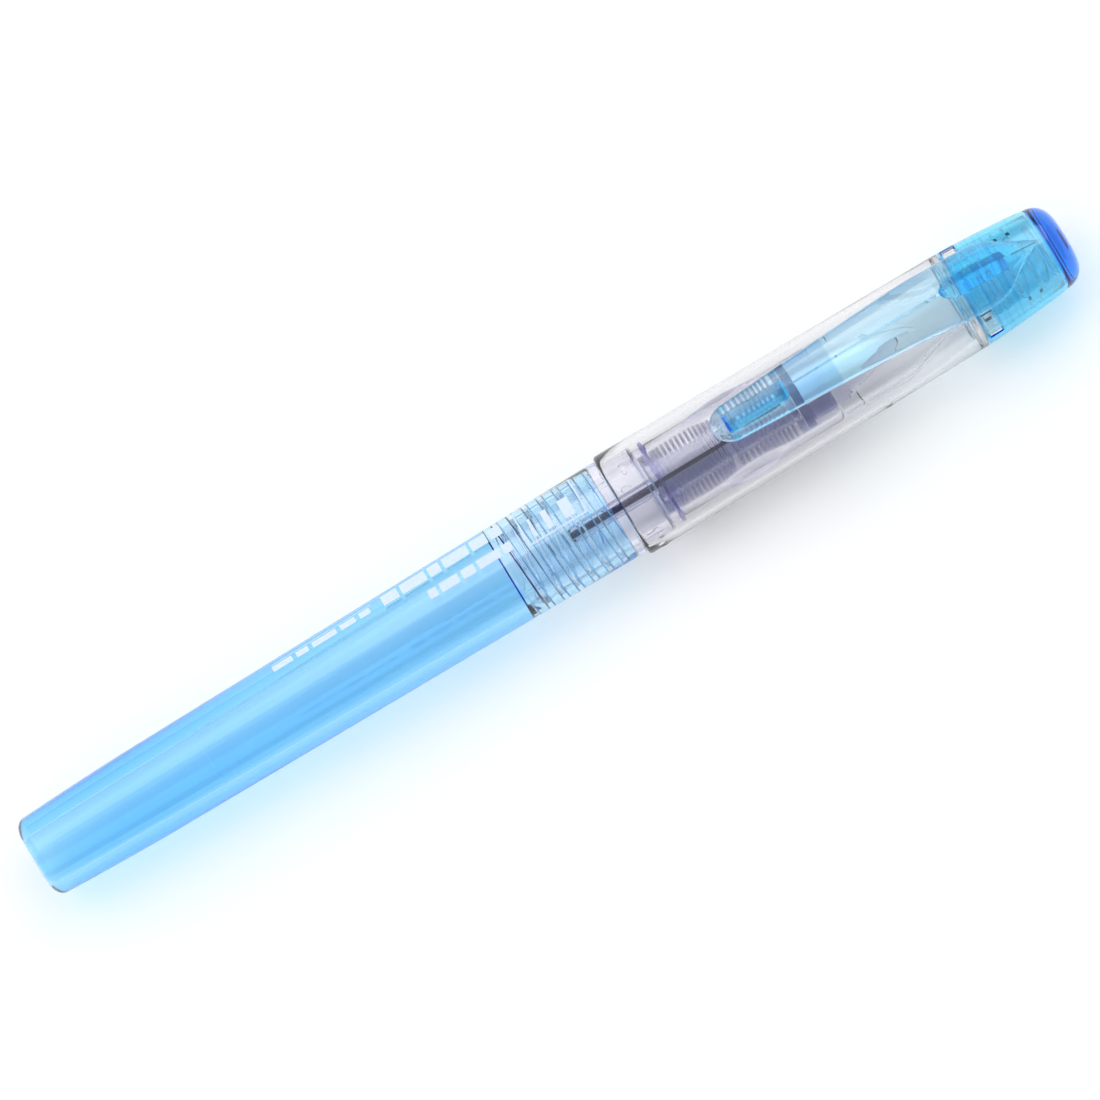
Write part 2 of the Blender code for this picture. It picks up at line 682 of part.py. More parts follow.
def make_spring(mat):
    """One-piece coil: two close turns behind the inner cap, then an open coil."""
    bm = bmesh.new()
    sides, per_turn = 6, 14
    close, open_turns = 1.5, 3.25
    total = close + open_turns
    steps = int(total * per_turn)
    x0, x1 = SPRING_X
    lead_close = 1.05
    lead_open = (x1 - x0 - lead_close * close) / open_turns

    def centre(t):
        x = x0 + lead_close * min(t, close) + lead_open * max(0.0, t - close)
        a = 2.0 * math.pi * t
        return Vector((x, SPRING_R * math.cos(a), SPRING_R * math.sin(a))), a

    rings = []
    for s in range(steps + 1):
        t = total * s / steps
        c, a = centre(t)
        radial = Vector((0.0, math.cos(a), math.sin(a)))
        ring = []
        for i in range(sides):
            b = 2.0 * math.pi * i / sides + math.pi / sides
            p = c + SPRING_WIRE * (math.cos(b) * radial + math.sin(b) * Vector((1, 0, 0)))
            ring.append(bm.verts.new(p * MM))
        rings.append(ring)
    for a, b in zip(rings, rings[1:]):
        join_rings(bm, a, b)
    bm.faces.new(rings[0])
    bm.faces.new(list(reversed(rings[-1])))
    return finish_mesh("seal_spring", bm, mat)


def make_clip(mat):
    """Arched spring plate with a web over the crown and a gripping rib at the tip."""
    xs = [CLIP_TIP, 22.9, 23.5, 24.3, 25.2, 27.5, 33.0, 40.0, 46.0, 50.0, 52.5, 54.7,
          56.6, 58.4, 60.6, 62.0, 63.4, 64.8, CLIP_APEX]
    across = (-1.0, -0.86, -0.5, 0.0, 0.5, 0.86, 1.0)
    bm = bmesh.new()
    rings = []
    for x in xs:
        w, top, drop, th = clip_half_width(x), clip_top(x), clip_drop(x), clip_thick(x)
        ring_top, ring_bot = [], []
        for k in across:
            y = k * w
            z_top = top - drop * abs(k) ** 1.9
            z_bot = z_top - th * (1.0 - 0.25 * abs(k) ** 3)
            if abs(k) == 1.0:
                z_top -= 0.12 * min(1.0, th)
            if x > 53.0:
                host = crown_outer(x) if x > CROWN_START else cap_outer(x)
                floor = math.sqrt(max(0.0, host * host - y * y)) + 0.10
                z_bot = max(z_bot, floor)
                z_top = max(z_top, z_bot + 0.16)
            ring_top.append(bm.verts.new((x * MM, y * MM, z_top * MM)))
            ring_bot.append(bm.verts.new((x * MM, y * MM, z_bot * MM)))
        rings.append(ring_top + list(reversed(ring_bot)))
    for a, b in zip(rings, rings[1:]):
        join_rings(bm, a, b)
    bm.faces.new(rings[0])
    bm.faces.new(list(reversed(rings[-1])))
    hx, hz = CLIP_HINGE
    shift = Vector((-hx * MM, 0.0, -hz * MM))
    bmesh.ops.translate(bm, verts=bm.verts, vec=shift)
    clip = finish_mesh("clip", bm, mat, location=(hx, 0.0, AXIS_Z + hz))

    ribs = bmesh.new()
    grip = [(24.4, 7.75), (24.45, 7.05), (24.8, 6.72), (26.4, 6.50), (28.4, 6.42),
            (30.6, 6.50), (32.0, 6.78), (32.45, 7.15), (32.5, 7.95)]
    extruded(ribs, grip, -1.1, 1.1)
    web = [(53.1, 8.05), (53.15, 7.0), (53.5, 6.45), (54.1, 6.19)]
    web += [(x, crown_outer(x) + 0.12) for x in (56.0, 58.0, 60.0, 61.2)]
    web += [(61.6, 5.90), (61.6, 6.85), (58.0, 7.75), (55.0, 8.15)]
    extruded(ribs, web, -1.1, 1.1)
    bmesh.ops.translate(ribs, verts=ribs.verts, vec=shift)
    boolean(clip, cutter("clip_rib_tool", ribs, (hx, 0.0, AXIS_Z + hz)), "UNION")
    return clip


# ---------------------------------------------------------------------- build
def main():
    clear_scene()
    blue = (0.16, 0.56, 0.96)
    clear = (0.97, 0.97, 0.98)
    make_barrel(material("barrel_blue", (0.45, 0.76, 0.98), 0.04, 1.0))
    make_section(material("section_clear", clear, 0.05, 1.0))
    make_feed(material("feed_violet", (0.80, 0.79, 0.90), 0.18, 0.75))
    make_ink_channel(material("ink_navy", (0.02, 0.03, 0.22), 0.25, 0.0))
    make_holder(material("holder_navy", (0.12, 0.14, 0.42), 0.22, 0.4))
    make_nib(material("nib_steel", (0.78, 0.79, 0.80), 0.22, 0.0, 1.0))
    make_cartridge(material("cartridge_clear", clear, 0.12, 1.0, ior=1.5))
    make_ring_seal(material("ring_violet", (0.42, 0.40, 0.72), 0.35, 0.6))
    make_cap_tube(material("cap_clear", clear, 0.04, 1.0))
    make_crown(material("crown_blue", blue, 0.05, 1.0))
    make_inner_cap(material("inner_cap_clear", clear, 0.08, 1.0))
    make_spring(material("spring_clear", (0.90, 0.94, 0.98), 0.12, 0.9))
    make_clip(material("clip_blue", blue, 0.05, 1.0))


main()
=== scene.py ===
import math
import bpy
import bmesh
from mathutils import Matrix, Vector


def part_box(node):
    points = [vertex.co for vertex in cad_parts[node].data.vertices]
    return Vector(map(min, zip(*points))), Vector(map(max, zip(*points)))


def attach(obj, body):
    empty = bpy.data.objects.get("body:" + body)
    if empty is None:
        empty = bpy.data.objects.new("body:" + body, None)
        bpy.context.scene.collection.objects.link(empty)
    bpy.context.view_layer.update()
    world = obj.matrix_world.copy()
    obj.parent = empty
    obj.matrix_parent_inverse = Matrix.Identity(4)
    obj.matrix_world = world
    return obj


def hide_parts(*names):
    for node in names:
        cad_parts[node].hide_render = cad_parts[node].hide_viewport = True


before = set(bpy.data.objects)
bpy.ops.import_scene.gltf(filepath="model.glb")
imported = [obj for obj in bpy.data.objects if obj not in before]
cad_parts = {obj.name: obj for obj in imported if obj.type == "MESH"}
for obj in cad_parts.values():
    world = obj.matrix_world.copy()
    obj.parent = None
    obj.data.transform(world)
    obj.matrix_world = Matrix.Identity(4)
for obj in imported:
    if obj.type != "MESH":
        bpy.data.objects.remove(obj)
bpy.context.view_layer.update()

MM = 0.001


def corners(node):
    lo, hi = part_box(node)
    return [c / MM for c in lo], [c / MM for c in hi]


# the pen axis and the main stations, read from the frame (millimetres)
_lo, _hi = corners("cap_tube")
AXIS_Z = 0.5 * (_lo[2] + _hi[2])
CAP_LIP = _lo[0]
SPIGOT_END = _hi[0]
CAP_R_LIP = 0.5 * (_hi[2] - _lo[2])
BARREL_END = corners("barrel")[0][0]
BARREL_FRONT = corners("barrel")[1][0]
CROWN_START = corners("cap_crown")[0][0]
CROWN_TIP = corners("cap_crown")[1][0]
SECTION_TAIL = corners("grip_section")[0][0]
GRIP_END = corners("grip_section")[1][0]
CLIP_TIP = corners("clip")[0][0]
CLIP_APEX = corners("clip")[1][0]
CLIP_TOP = corners("clip")[1][2] - AXIS_Z
INNER_CAP_X = corners("inner_cap")[0][0]

# design sizes that the boxes don't give (millimetres), as in the CAD model
PITCH, THREAD_X0 = 1.98, -2.247
BARREL_R_REAR, BARREL_R_FRONT, BARREL_TAPER_X, BARREL_DRAW_IN = 5.42, 5.97, -52.5, 0.47
BARREL_CORNER = (1.4, 1.9)
BARREL_DRAW_END, BARREL_FLOOR, BORE_R_REAR, BORE_R_FRONT = -67.7, -68.2, 3.10, 4.30
CORE_SHIFT = 0.20                  # the moulding core leans this far down the view at the tail
SOCKET_X, SOCKET_R = -5.6, 5.07
GROOVE_DEPTH, GROOVE_W = 0.32, (0.90, 0.58)
RIDGE_HEIGHT, RIDGE_W = 0.36, (0.56, 0.28)
TAIL_R, TAIL_BORE = 4.90, 4.20
FLANGE, FLANGE_R = (8.25, 9.38), 5.98
PLUG_END, PLUG_R = 13.63, 5.42
GRIP_R, GRIP_BORE = 4.75, 3.85
SWELL_X, SWELL_HALF, SWELL_OUT, SWELL_IN = 25.2, 5.0, 0.42, 0.45
RING_X = (14.60, 15.20)
SNAP_X, SNAP_TOP = 11.85, 5.60
FEED_GAP, FEED_CORE_R, FEED_CORE_BORE = 0.13, 2.17, 1.80
SPIKE_R, SPIKE_BORE, SPIKE_TIP, FEED_START = 1.05, 0.55, 2.7, 13.75
FEED_BLOCK, FEED_END = (13.75, 15.80), (31.58, 32.40)
FIN_T = 0.30
INK_SHEET_END = 24.0
HOLDER_SPLIT = 36.67
FIN_ROWS = ((15.98, 0.47, 2), (17.02, 0.605, 11), (24.22, 0.612, 12))
HOLDER, HOLDER_FLANGE_R, HOLDER_R = (32.52, 33.50, 38.78), 3.72, 3.12
NIB_X, NIB_ARC_R, NIB_T, NIB_ROLL = (33.62, 48.70), 3.46, 0.20, math.radians(-31.4)
CART_X, CART_R, CART_BORE, CART_NECK = (-46.5, 6.0), 3.30, 2.80, 1.22
CAP_TAPER, CAP_SHELL_END = 0.00896, 55.20
STOP_RIB = (54.40, 55.00, 4.10)
SLOT_X, SLOT_ROLL = (61.36, 61.66, 62.76, 63.14), math.radians(13.6)
LUG_X, LUG_HALF = (55.72, 57.28), math.radians(17.5)
WINDOW_X, WINDOW_HALF = (55.58, 57.42), math.radians(20.0)
CROWN_FLOOR, CROWN_END_FLAT = 67.0, 1.3
INNER_FLANGE = (56.0, 56.9, 4.35)
SPRING_R, SPRING_WIRE, SPRING_X = 3.32, 0.38, (57.46, 66.52)
VIEW_TILT = math.radians(13.6)     # roll of the pen about its axis, seen from the camera

CLIP_BEVEL = 0.58

SEG = 112

# the studio
FLOOR_FILL = 0.14
SOFTBOX = 1.35


# ------------------------------------------------------------------- camera
def add_camera():
    tilt, roll = VIEW_TILT, math.radians(31.193)
    back = Vector((0.0, -math.sin(tilt), math.cos(tilt)))
    up0 = Vector((0.0, math.cos(tilt), math.sin(tilt)))
    x = Vector((1.0, 0.0, 0.0))
    right = x * math.cos(roll) - up0 * math.sin(roll)
    up = x * math.sin(roll) + up0 * math.cos(roll)
    data = bpy.data.cameras.new("camera")
    data.lens = 600.0
    data.sensor_width = 36.0
    data.clip_start = 0.02
    data.clip_end = 60.0
    width = 0.12599
    dist = width * data.lens / data.sensor_width
    cam = bpy.data.objects.new("camera", data)
    bpy.context.scene.collection.objects.link(cam)
    m = Matrix((right, up, back)).transposed().to_4x4()
    m.translation = Vector((-0.000097, -0.0000675, AXIS_Z * MM - 0.0000163)) + back * dist
    cam.matrix_world = m
    bpy.context.scene.camera = cam


add_camera()


# ------------------------------------------------------------- mesh helpers
def smooth01(u):
    u = min(max(u, 0.0), 1.0)
    return u * u * (3.0 - 2.0 * u)


def read_line(table, x):
    if x <= table[0][0]:
        return table[0][1]
    for (x0, v0), (x1, v1) in zip(table, table[1:]):
        if x <= x1:
            return v0 + (v1 - v0) * (x - x0) / (x1 - x0)
    return table[-1][1]


def read_smooth(table, x):
    """Monotone cubic through the design stations, so no facets show."""
    n = len(table)
    if x <= table[0][0]:
        return table[0][1]
    if x >= table[-1][0]:
        return table[-1][1]
    d = [(table[i + 1][1] - table[i][1]) / (table[i + 1][0] - table[i][0]) for i in range(n - 1)]
    m = [d[0]]
    for i in range(1, n - 1):
        if d[i - 1] * d[i] <= 0.0:
            m.append(0.0)
        else:
            h0 = table[i][0] - table[i - 1][0]
            h1 = table[i + 1][0] - table[i][0]
            w0, w1 = 2 * h1 + h0, h1 + 2 * h0
            m.append((w0 + w1) / (w0 / d[i - 1] + w1 / d[i]))
    m.append(d[-1])
    for i in range(n - 1):
        if x <= table[i + 1][0]:
            h = table[i + 1][0] - table[i][0]
            t = (x - table[i][0]) / h
            return ((2 * t ** 3 - 3 * t ** 2 + 1) * table[i][1] + (t ** 3 - 2 * t ** 2 + t) * h * m[i]
                    + (-2 * t ** 3 + 3 * t ** 2) * table[i + 1][1] + (t ** 3 - t ** 2) * h * m[i + 1])


def rounded(points, radius, seg=3, closed=False):
    """Replace the corners of an (x, r) profile by small arcs."""
    out = []
    n = len(points)
    for i, p in enumerate(points):
        if not closed and i in (0, n - 1):
            out.append(p)
            continue
        a, b = points[i - 1], points[(i + 1) % n]
        va = Vector((a[0] - p[0], a[1] - p[1]))
        vb = Vector((b[0] - p[0], b[1] - p[1]))
        la, lb = va.length, vb.length
        if la < 1e-6 or lb < 1e-6:
            out.append(p)
            continue
        turn = math.pi - va.angle(vb)
        if turn < math.radians(22):
            out.append(p)
            continue
        cut = min(radius * math.tan(turn / 2), 0.42 * la, 0.42 * lb)
        pa = Vector(p) + va / la * cut
        pb = Vector(p) + vb / lb * cut
        for k in range(seg + 1):
            t = k / seg
            q = pa.lerp(Vector(p), t).lerp(Vector(p).lerp(pb, t), t)
            out.append((q.x, q.y))
    return out


def ring_of(bm, x, r, n):
    if r <= 1e-6:
        return [bm.verts.new((x * MM, 0.0, 0.0))]
    return [bm.verts.new((x * MM, r * math.cos(2 * math.pi * i / n) * MM,
                          r * math.sin(2 * math.pi * i / n) * MM)) for i in range(n)]


def join_rings(bm, a, b):
    n = max(len(a), len(b))
    for i in range(n):
        k = (i + 1) % n
        face = []
        for v in (a[i % len(a)], a[k % len(a)], b[k % len(b)], b[i % len(b)]):
            if v not in face:
                face.append(v)
        if len(face) > 2:
            bm.faces.new(face)


def strip(bm, profile, n):
    rings = [ring_of(bm, x, r, n) for x, r in profile]
    for a, b in zip(rings, rings[1:]):
        join_rings(bm, a, b)


def thread_radius(base, height, half_widths, x_in, x_out):
    def fn(x, a):
        u = (x - THREAD_X0) / PITCH - a / (2.0 * math.pi)
        d = abs(u - round(u)) * PITCH
        w0, w1 = half_widths
        k = smooth01((w0 - d) / (w0 - w1))
        if x_in is not None:
            k *= smooth01((x - x_in) / 0.7)
        if x_out is not None:
            k *= smooth01((x_out - x) / 0.7)
        return base + height * k
    return fn


def helical_band(bm, xa, xb, n, radius, half_widths):
    w0, w1 = half_widths
    inner = [w1 + (w0 - w1) * f for f in (0.0, 0.25, 0.5, 0.75, 1.0)]
    offs = sorted([-o for o in inner] + inner)
    lo = int(math.floor((xa - THREAD_X0) / PITCH)) - 3
    hi = int(math.ceil((xb - THREAD_X0) / PITCH)) + 3
    rows = [(m, o) for m in range(lo, hi + 1) for o in offs]
    step = len(offs)

    def vert(i, j):
        m, o = rows[j]
        a = 2.0 * math.pi * i / n
        x = min(max(THREAD_X0 + PITCH * (m + i / n) + o, xa), xb)
        r = radius(x, a)
        return bm.verts.new((x * MM, r * math.cos(a) * MM, r * math.sin(a) * MM))

    grid = [[vert(i, j) for j in range(len(rows))] for i in range(n)]
    for i in range(n):
        for j in range(len(rows) - 1):
            if i < n - 1:
                quad = [grid[i][j], grid[i + 1][j], grid[i + 1][j + 1], grid[i][j + 1]]
            elif j + 1 + step < len(rows):
                quad = [grid[i][j], grid[0][j + step], grid[0][j + 1 + step], grid[i][j + 1]]
            else:
                continue
            bm.faces.new(quad)


def to_object(name, bm, sharp=38.0, merge=2e-6, smooth=True):
    bmesh.ops.remove_doubles(bm, verts=bm.verts, dist=merge)
    bmesh.ops.dissolve_degenerate(bm, edges=bm.edges, dist=5e-7)
    bmesh.ops.delete(bm, geom=[v for v in bm.verts if not v.link_faces], context="VERTS")
    bmesh.ops.recalc_face_normals(bm, faces=bm.faces)
    if bm.calc_volume(signed=True) < 0:
        bmesh.ops.reverse_faces(bm, faces=bm.faces)
    bmesh.ops.translate(bm, verts=bm.verts, vec=(0.0, 0.0, AXIS_Z * MM))
    mesh = bpy.data.meshes.new(name)
    bm.to_mesh(mesh)
    bm.free()
    if smooth:
        mesh.shade_smooth()
        mesh.set_sharp_from_angle(angle=math.radians(sharp))
    obj = bpy.data.objects.new(name, mesh)
    bpy.context.scene.collection.objects.link(obj)
    return obj


def cut_with(obj, tool, operation, sharp=38.0):
    mod = obj.modifiers.new("cut", "BOOLEAN")
    mod.object = tool
    mod.operation = operation
    mod.solver = "EXACT"
    bpy.context.view_layer.update()
    deps = bpy.context.evaluated_depsgraph_get()
    mesh = bpy.data.meshes.new_from_object(obj.evaluated_get(deps))
    obj.modifiers.clear()
    old = obj.data
    obj.data = mesh
    bpy.data.meshes.remove(old)
    mesh.shade_smooth()
    mesh.set_sharp_from_angle(angle=math.radians(sharp))
    bpy.data.objects.remove(tool, do_unlink=True)


def block(bm, lo, hi, matrix=Matrix.Identity(4)):
    res = bmesh.ops.create_cube(bm, size=1.0)
    size = Vector([(h - l) * MM for l, h in zip(lo, hi)])
    mid = Vector([(h + l) * 0.5 * MM for l, h in zip(lo, hi)])
    for v in res["verts"]:
        v.co = matrix @ (Vector([c * s for c, s in zip(v.co, size)]) + mid)


def sector(bm, x0, x1, r0, r1, mid, half, n):
    rows = []
    for i in range(n + 1):
        a = mid - half + 2 * half * i / n
        rows.append([bm.verts.new((x * MM, r * math.cos(a) * MM, r * math.sin(a) * MM))
                     for x, r in ((x0, r0), (x1, r0), (x1, r1), (x0, r1))])
    for a, b in zip(rows, rows[1:]):
        for k in range(4):
            m = (k + 1) % 4
            bm.faces.new([a[k], a[m], b[m], b[k]])
    bm.faces.new(list(reversed(rows[0])))
    bm.faces.new(rows[-1])


def spin_x(bm, angle):
    bmesh.ops.rotate(bm, verts=bm.verts, cent=(0, 0, 0), matrix=Matrix.Rotation(angle, 3, "X"))


def view_angle(phi_deg):
    """Angle about +X (from +Y) of a line phi degrees from the camera side, down the view."""
    return math.radians(90.0) + VIEW_TILT + math.radians(phi_deg)


# ------------------------------------------------------------- shape formulas
def barrel_outer(x):
    if x >= BARREL_TAPER_X:
        k = (x - BARREL_TAPER_X) / (BARREL_FRONT - BARREL_TAPER_X)
        return BARREL_R_REAR + (BARREL_R_FRONT - BARREL_R_REAR) * k
    u = (BARREL_TAPER_X - x) / (BARREL_TAPER_X - BARREL_DRAW_END)
    return BARREL_R_REAR - BARREL_DRAW_IN * u ** 1.5


def swell(x):
    u = (x - SWELL_X) / SWELL_HALF
    return math.cos(0.5 * math.pi * u) ** 2 if abs(u) < 1.0 else 0.0


def grip_outer(x):
    return GRIP_R + SWELL_OUT * swell(x)


def grip_bore(x):
    return GRIP_BORE - SWELL_IN * swell(x)


def cap_outer(x):
    return CAP_R_LIP - CAP_TAPER * max(0.0, x - 10.0)


def spigot_outer(x):
    return read_line(((CAP_SHELL_END, 5.38), (57.7, 5.28), (SPIGOT_END, 4.72)), x)


def cap_bore(x):
    return read_line(((9.9, 5.72), (13.6, 5.66), (46.4, 5.48), (54.1, 4.80),
                      (57.7, 4.68), (SPIGOT_END, 4.25)), x)


CROWN_TABLE = ((CROWN_START, 6.03), (57.2, 5.96), (59.6, 5.82), (61.9, 5.64), (64.3, 5.43),
               (66.1, 5.18))


def crown_outer(x):
    if x <= 66.1:
        return read_smooth(CROWN_TABLE, x)
    u = min(1.0, (x - 66.1) / (CROWN_TIP - 66.1))
    return 5.18 * max(1.0 - u * u, 0.0) ** (1.0 / 3.9)


def clip_half_width(x):
    if x < 25.2:
        u = (25.2 - x) / (25.2 - CLIP_TIP)
        return max(0.03, 2.28 * math.sqrt(max(0.0, 1.0 - u * u)))
    if x < 54.7:
        return 2.28 + 0.0545 * (x - 25.2)
    return read_smooth(((54.7, 3.888), (58.4, 3.80), (60.6, 3.26), (61.7, 2.50),
                        (62.6, 1.95), (CLIP_APEX, 0.05)), x)


TOP_TABLE = ((22.6, 7.98), (23.4, 8.20), (25.0, 8.36), (30.0, 8.60), (38.0, 8.78), (44.0, 8.8),
             (51.0, 8.76), (54.7, 8.60), (57.5, 8.25), (60.0, 7.70), (62.5, 6.92), (64.5, 6.15),
             (66.1, 5.56))


def clip_top(x):
    return min(read_smooth(TOP_TABLE, x), CLIP_TOP)


def clip_drop(x):
    return read_smooth(((22.6, 0.28), (26.0, 0.62), (44.0, 0.85), (50.0, 1.30), (54.7, 2.65),
                        (59.0, 2.55), (62.0, 1.25), (66.1, 0.04)), x)


def clip_thick(x):
    return read_smooth(((22.6, 0.50), (24.2, 0.98), (30.0, 1.12), (56.0, 1.12), (62.0, 0.90),
                        (66.1, 0.24)), x)


# ------------------------------------------------------------------- shaders
def nodes_of(name):
    mat = bpy.data.materials.new(name)
    mat.use_nodes = True
    nt = mat.node_tree
    bsdf = nt.nodes["Principled BSDF"]
    out = nt.nodes["Material Output"]
    return mat, nt, bsdf, out


def object_coords(nt, scale=(1.0, 1.0, 1.0)):
    tex = nt.nodes.new("ShaderNodeTexCoord")
    mp = nt.nodes.new("ShaderNodeMapping")
    mp.inputs["Scale"].default_value = scale
    nt.links.new(tex.outputs["Object"], mp.inputs["Vector"])
    return mp.outputs["Vector"]


def noise(nt, vec, scale, detail=3.0, rough=0.5):
    n = nt.nodes.new("ShaderNodeTexNoise")
    n.inputs["Scale"].default_value = scale
    n.inputs["Detail"].default_value = detail
    n.inputs["Roughness"].default_value = rough
    nt.links.new(vec, n.inputs["Vector"])
    return n.outputs["Fac"]


def remap(nt, value, lo, hi, a=0.0, b=1.0):
    m = nt.nodes.new("ShaderNodeMapRange")
    m.inputs["From Min"].default_value = a
    m.inputs["From Max"].default_value = b
    m.inputs["To Min"].default_value = lo
    m.inputs["To Max"].default_value = hi
    nt.links.new(value, m.inputs["Value"])
    return m.outputs["Result"]


def ramp(nt, value, stops):
    r = nt.nodes.new("ShaderNodeValToRGB")
    el = r.color_ramp.elements
    while len(el) > 1:
        el.remove(el[-1])
    el[0].position, el[0].color = stops[0][0], (*stops[0][1], 1.0)
    for pos, col in stops[1:]:
        e = el.new(pos)
        e.color = (*col, 1.0)
    nt.links.new(value, r.inputs["Fac"])
    return r.outputs["Color"]


def bump(nt, height, strength, distance, into=None):
    b = nt.nodes.new("ShaderNodeBump")
    b.inputs["Strength"].default_value = strength
    b.inputs["Distance"].default_value = distance
    nt.links.new(height, b.inputs["Height"])
    if into is not None:
        nt.links.new(into, b.inputs["Normal"])
    return b.outputs["Normal"]


def clear_plastic(name, tint_a, tint_b, sigma, rough=(0.0, 0.03), ior=1.585, wave=0.012,
                  shadow=0.94):
    """Moulded transparent plastic: flow marks, faint scuffs, and colour that deepens with depth."""
    mat, nt, bsdf, out = nodes_of(name)
    flow = object_coords(nt, (1.0, 2.6, 2.6))
    fine = object_coords(nt, (6.0, 1.0, 1.0))
    patch = noise(nt, flow, 160.0, 2.0)
    scuff = noise(nt, fine, 900.0, 4.0, 0.65)
    nt.links.new(ramp(nt, patch, [(0.3, tint_a), (0.7, tint_b)]), bsdf.inputs["Base Color"])
    nt.links.new(remap(nt, scuff, rough[0], rough[1], 0.35, 0.75), bsdf.inputs["Roughness"])
    bsdf.inputs["Transmission Weight"].default_value = 1.0
    bsdf.inputs["IOR"].default_value = ior
    nt.links.new(bump(nt, patch, wave, 0.0006), bsdf.inputs["Normal"])
    shade = nt.nodes.new("ShaderNodeBsdfTransparent")
    shade.inputs["Color"].default_value = (shadow, shadow, shadow, 1.0)
    path = nt.nodes.new("ShaderNodeLightPath")
    mix = nt.nodes.new("ShaderNodeMixShader")
    nt.links.new(path.outputs["Is Shadow Ray"], mix.inputs["Fac"])
    nt.links.new(bsdf.outputs["BSDF"], mix.inputs[1])
    nt.links.new(shade.outputs["BSDF"], mix.inputs[2])
    nt.links.new(mix.outputs["Shader"], out.inputs["Surface"])
    density = max(sigma)
    if density > 0.0:
        vol = nt.nodes.new("ShaderNodeVolumeAbsorption")
        vol.inputs["Density"].default_value = density
        vol.inputs["Color"].default_value = (*[1.0 - s / density for s in sigma], 1.0)
        nt.links.new(vol.outputs["Volume"], out.inputs["Volume"])
    return mat


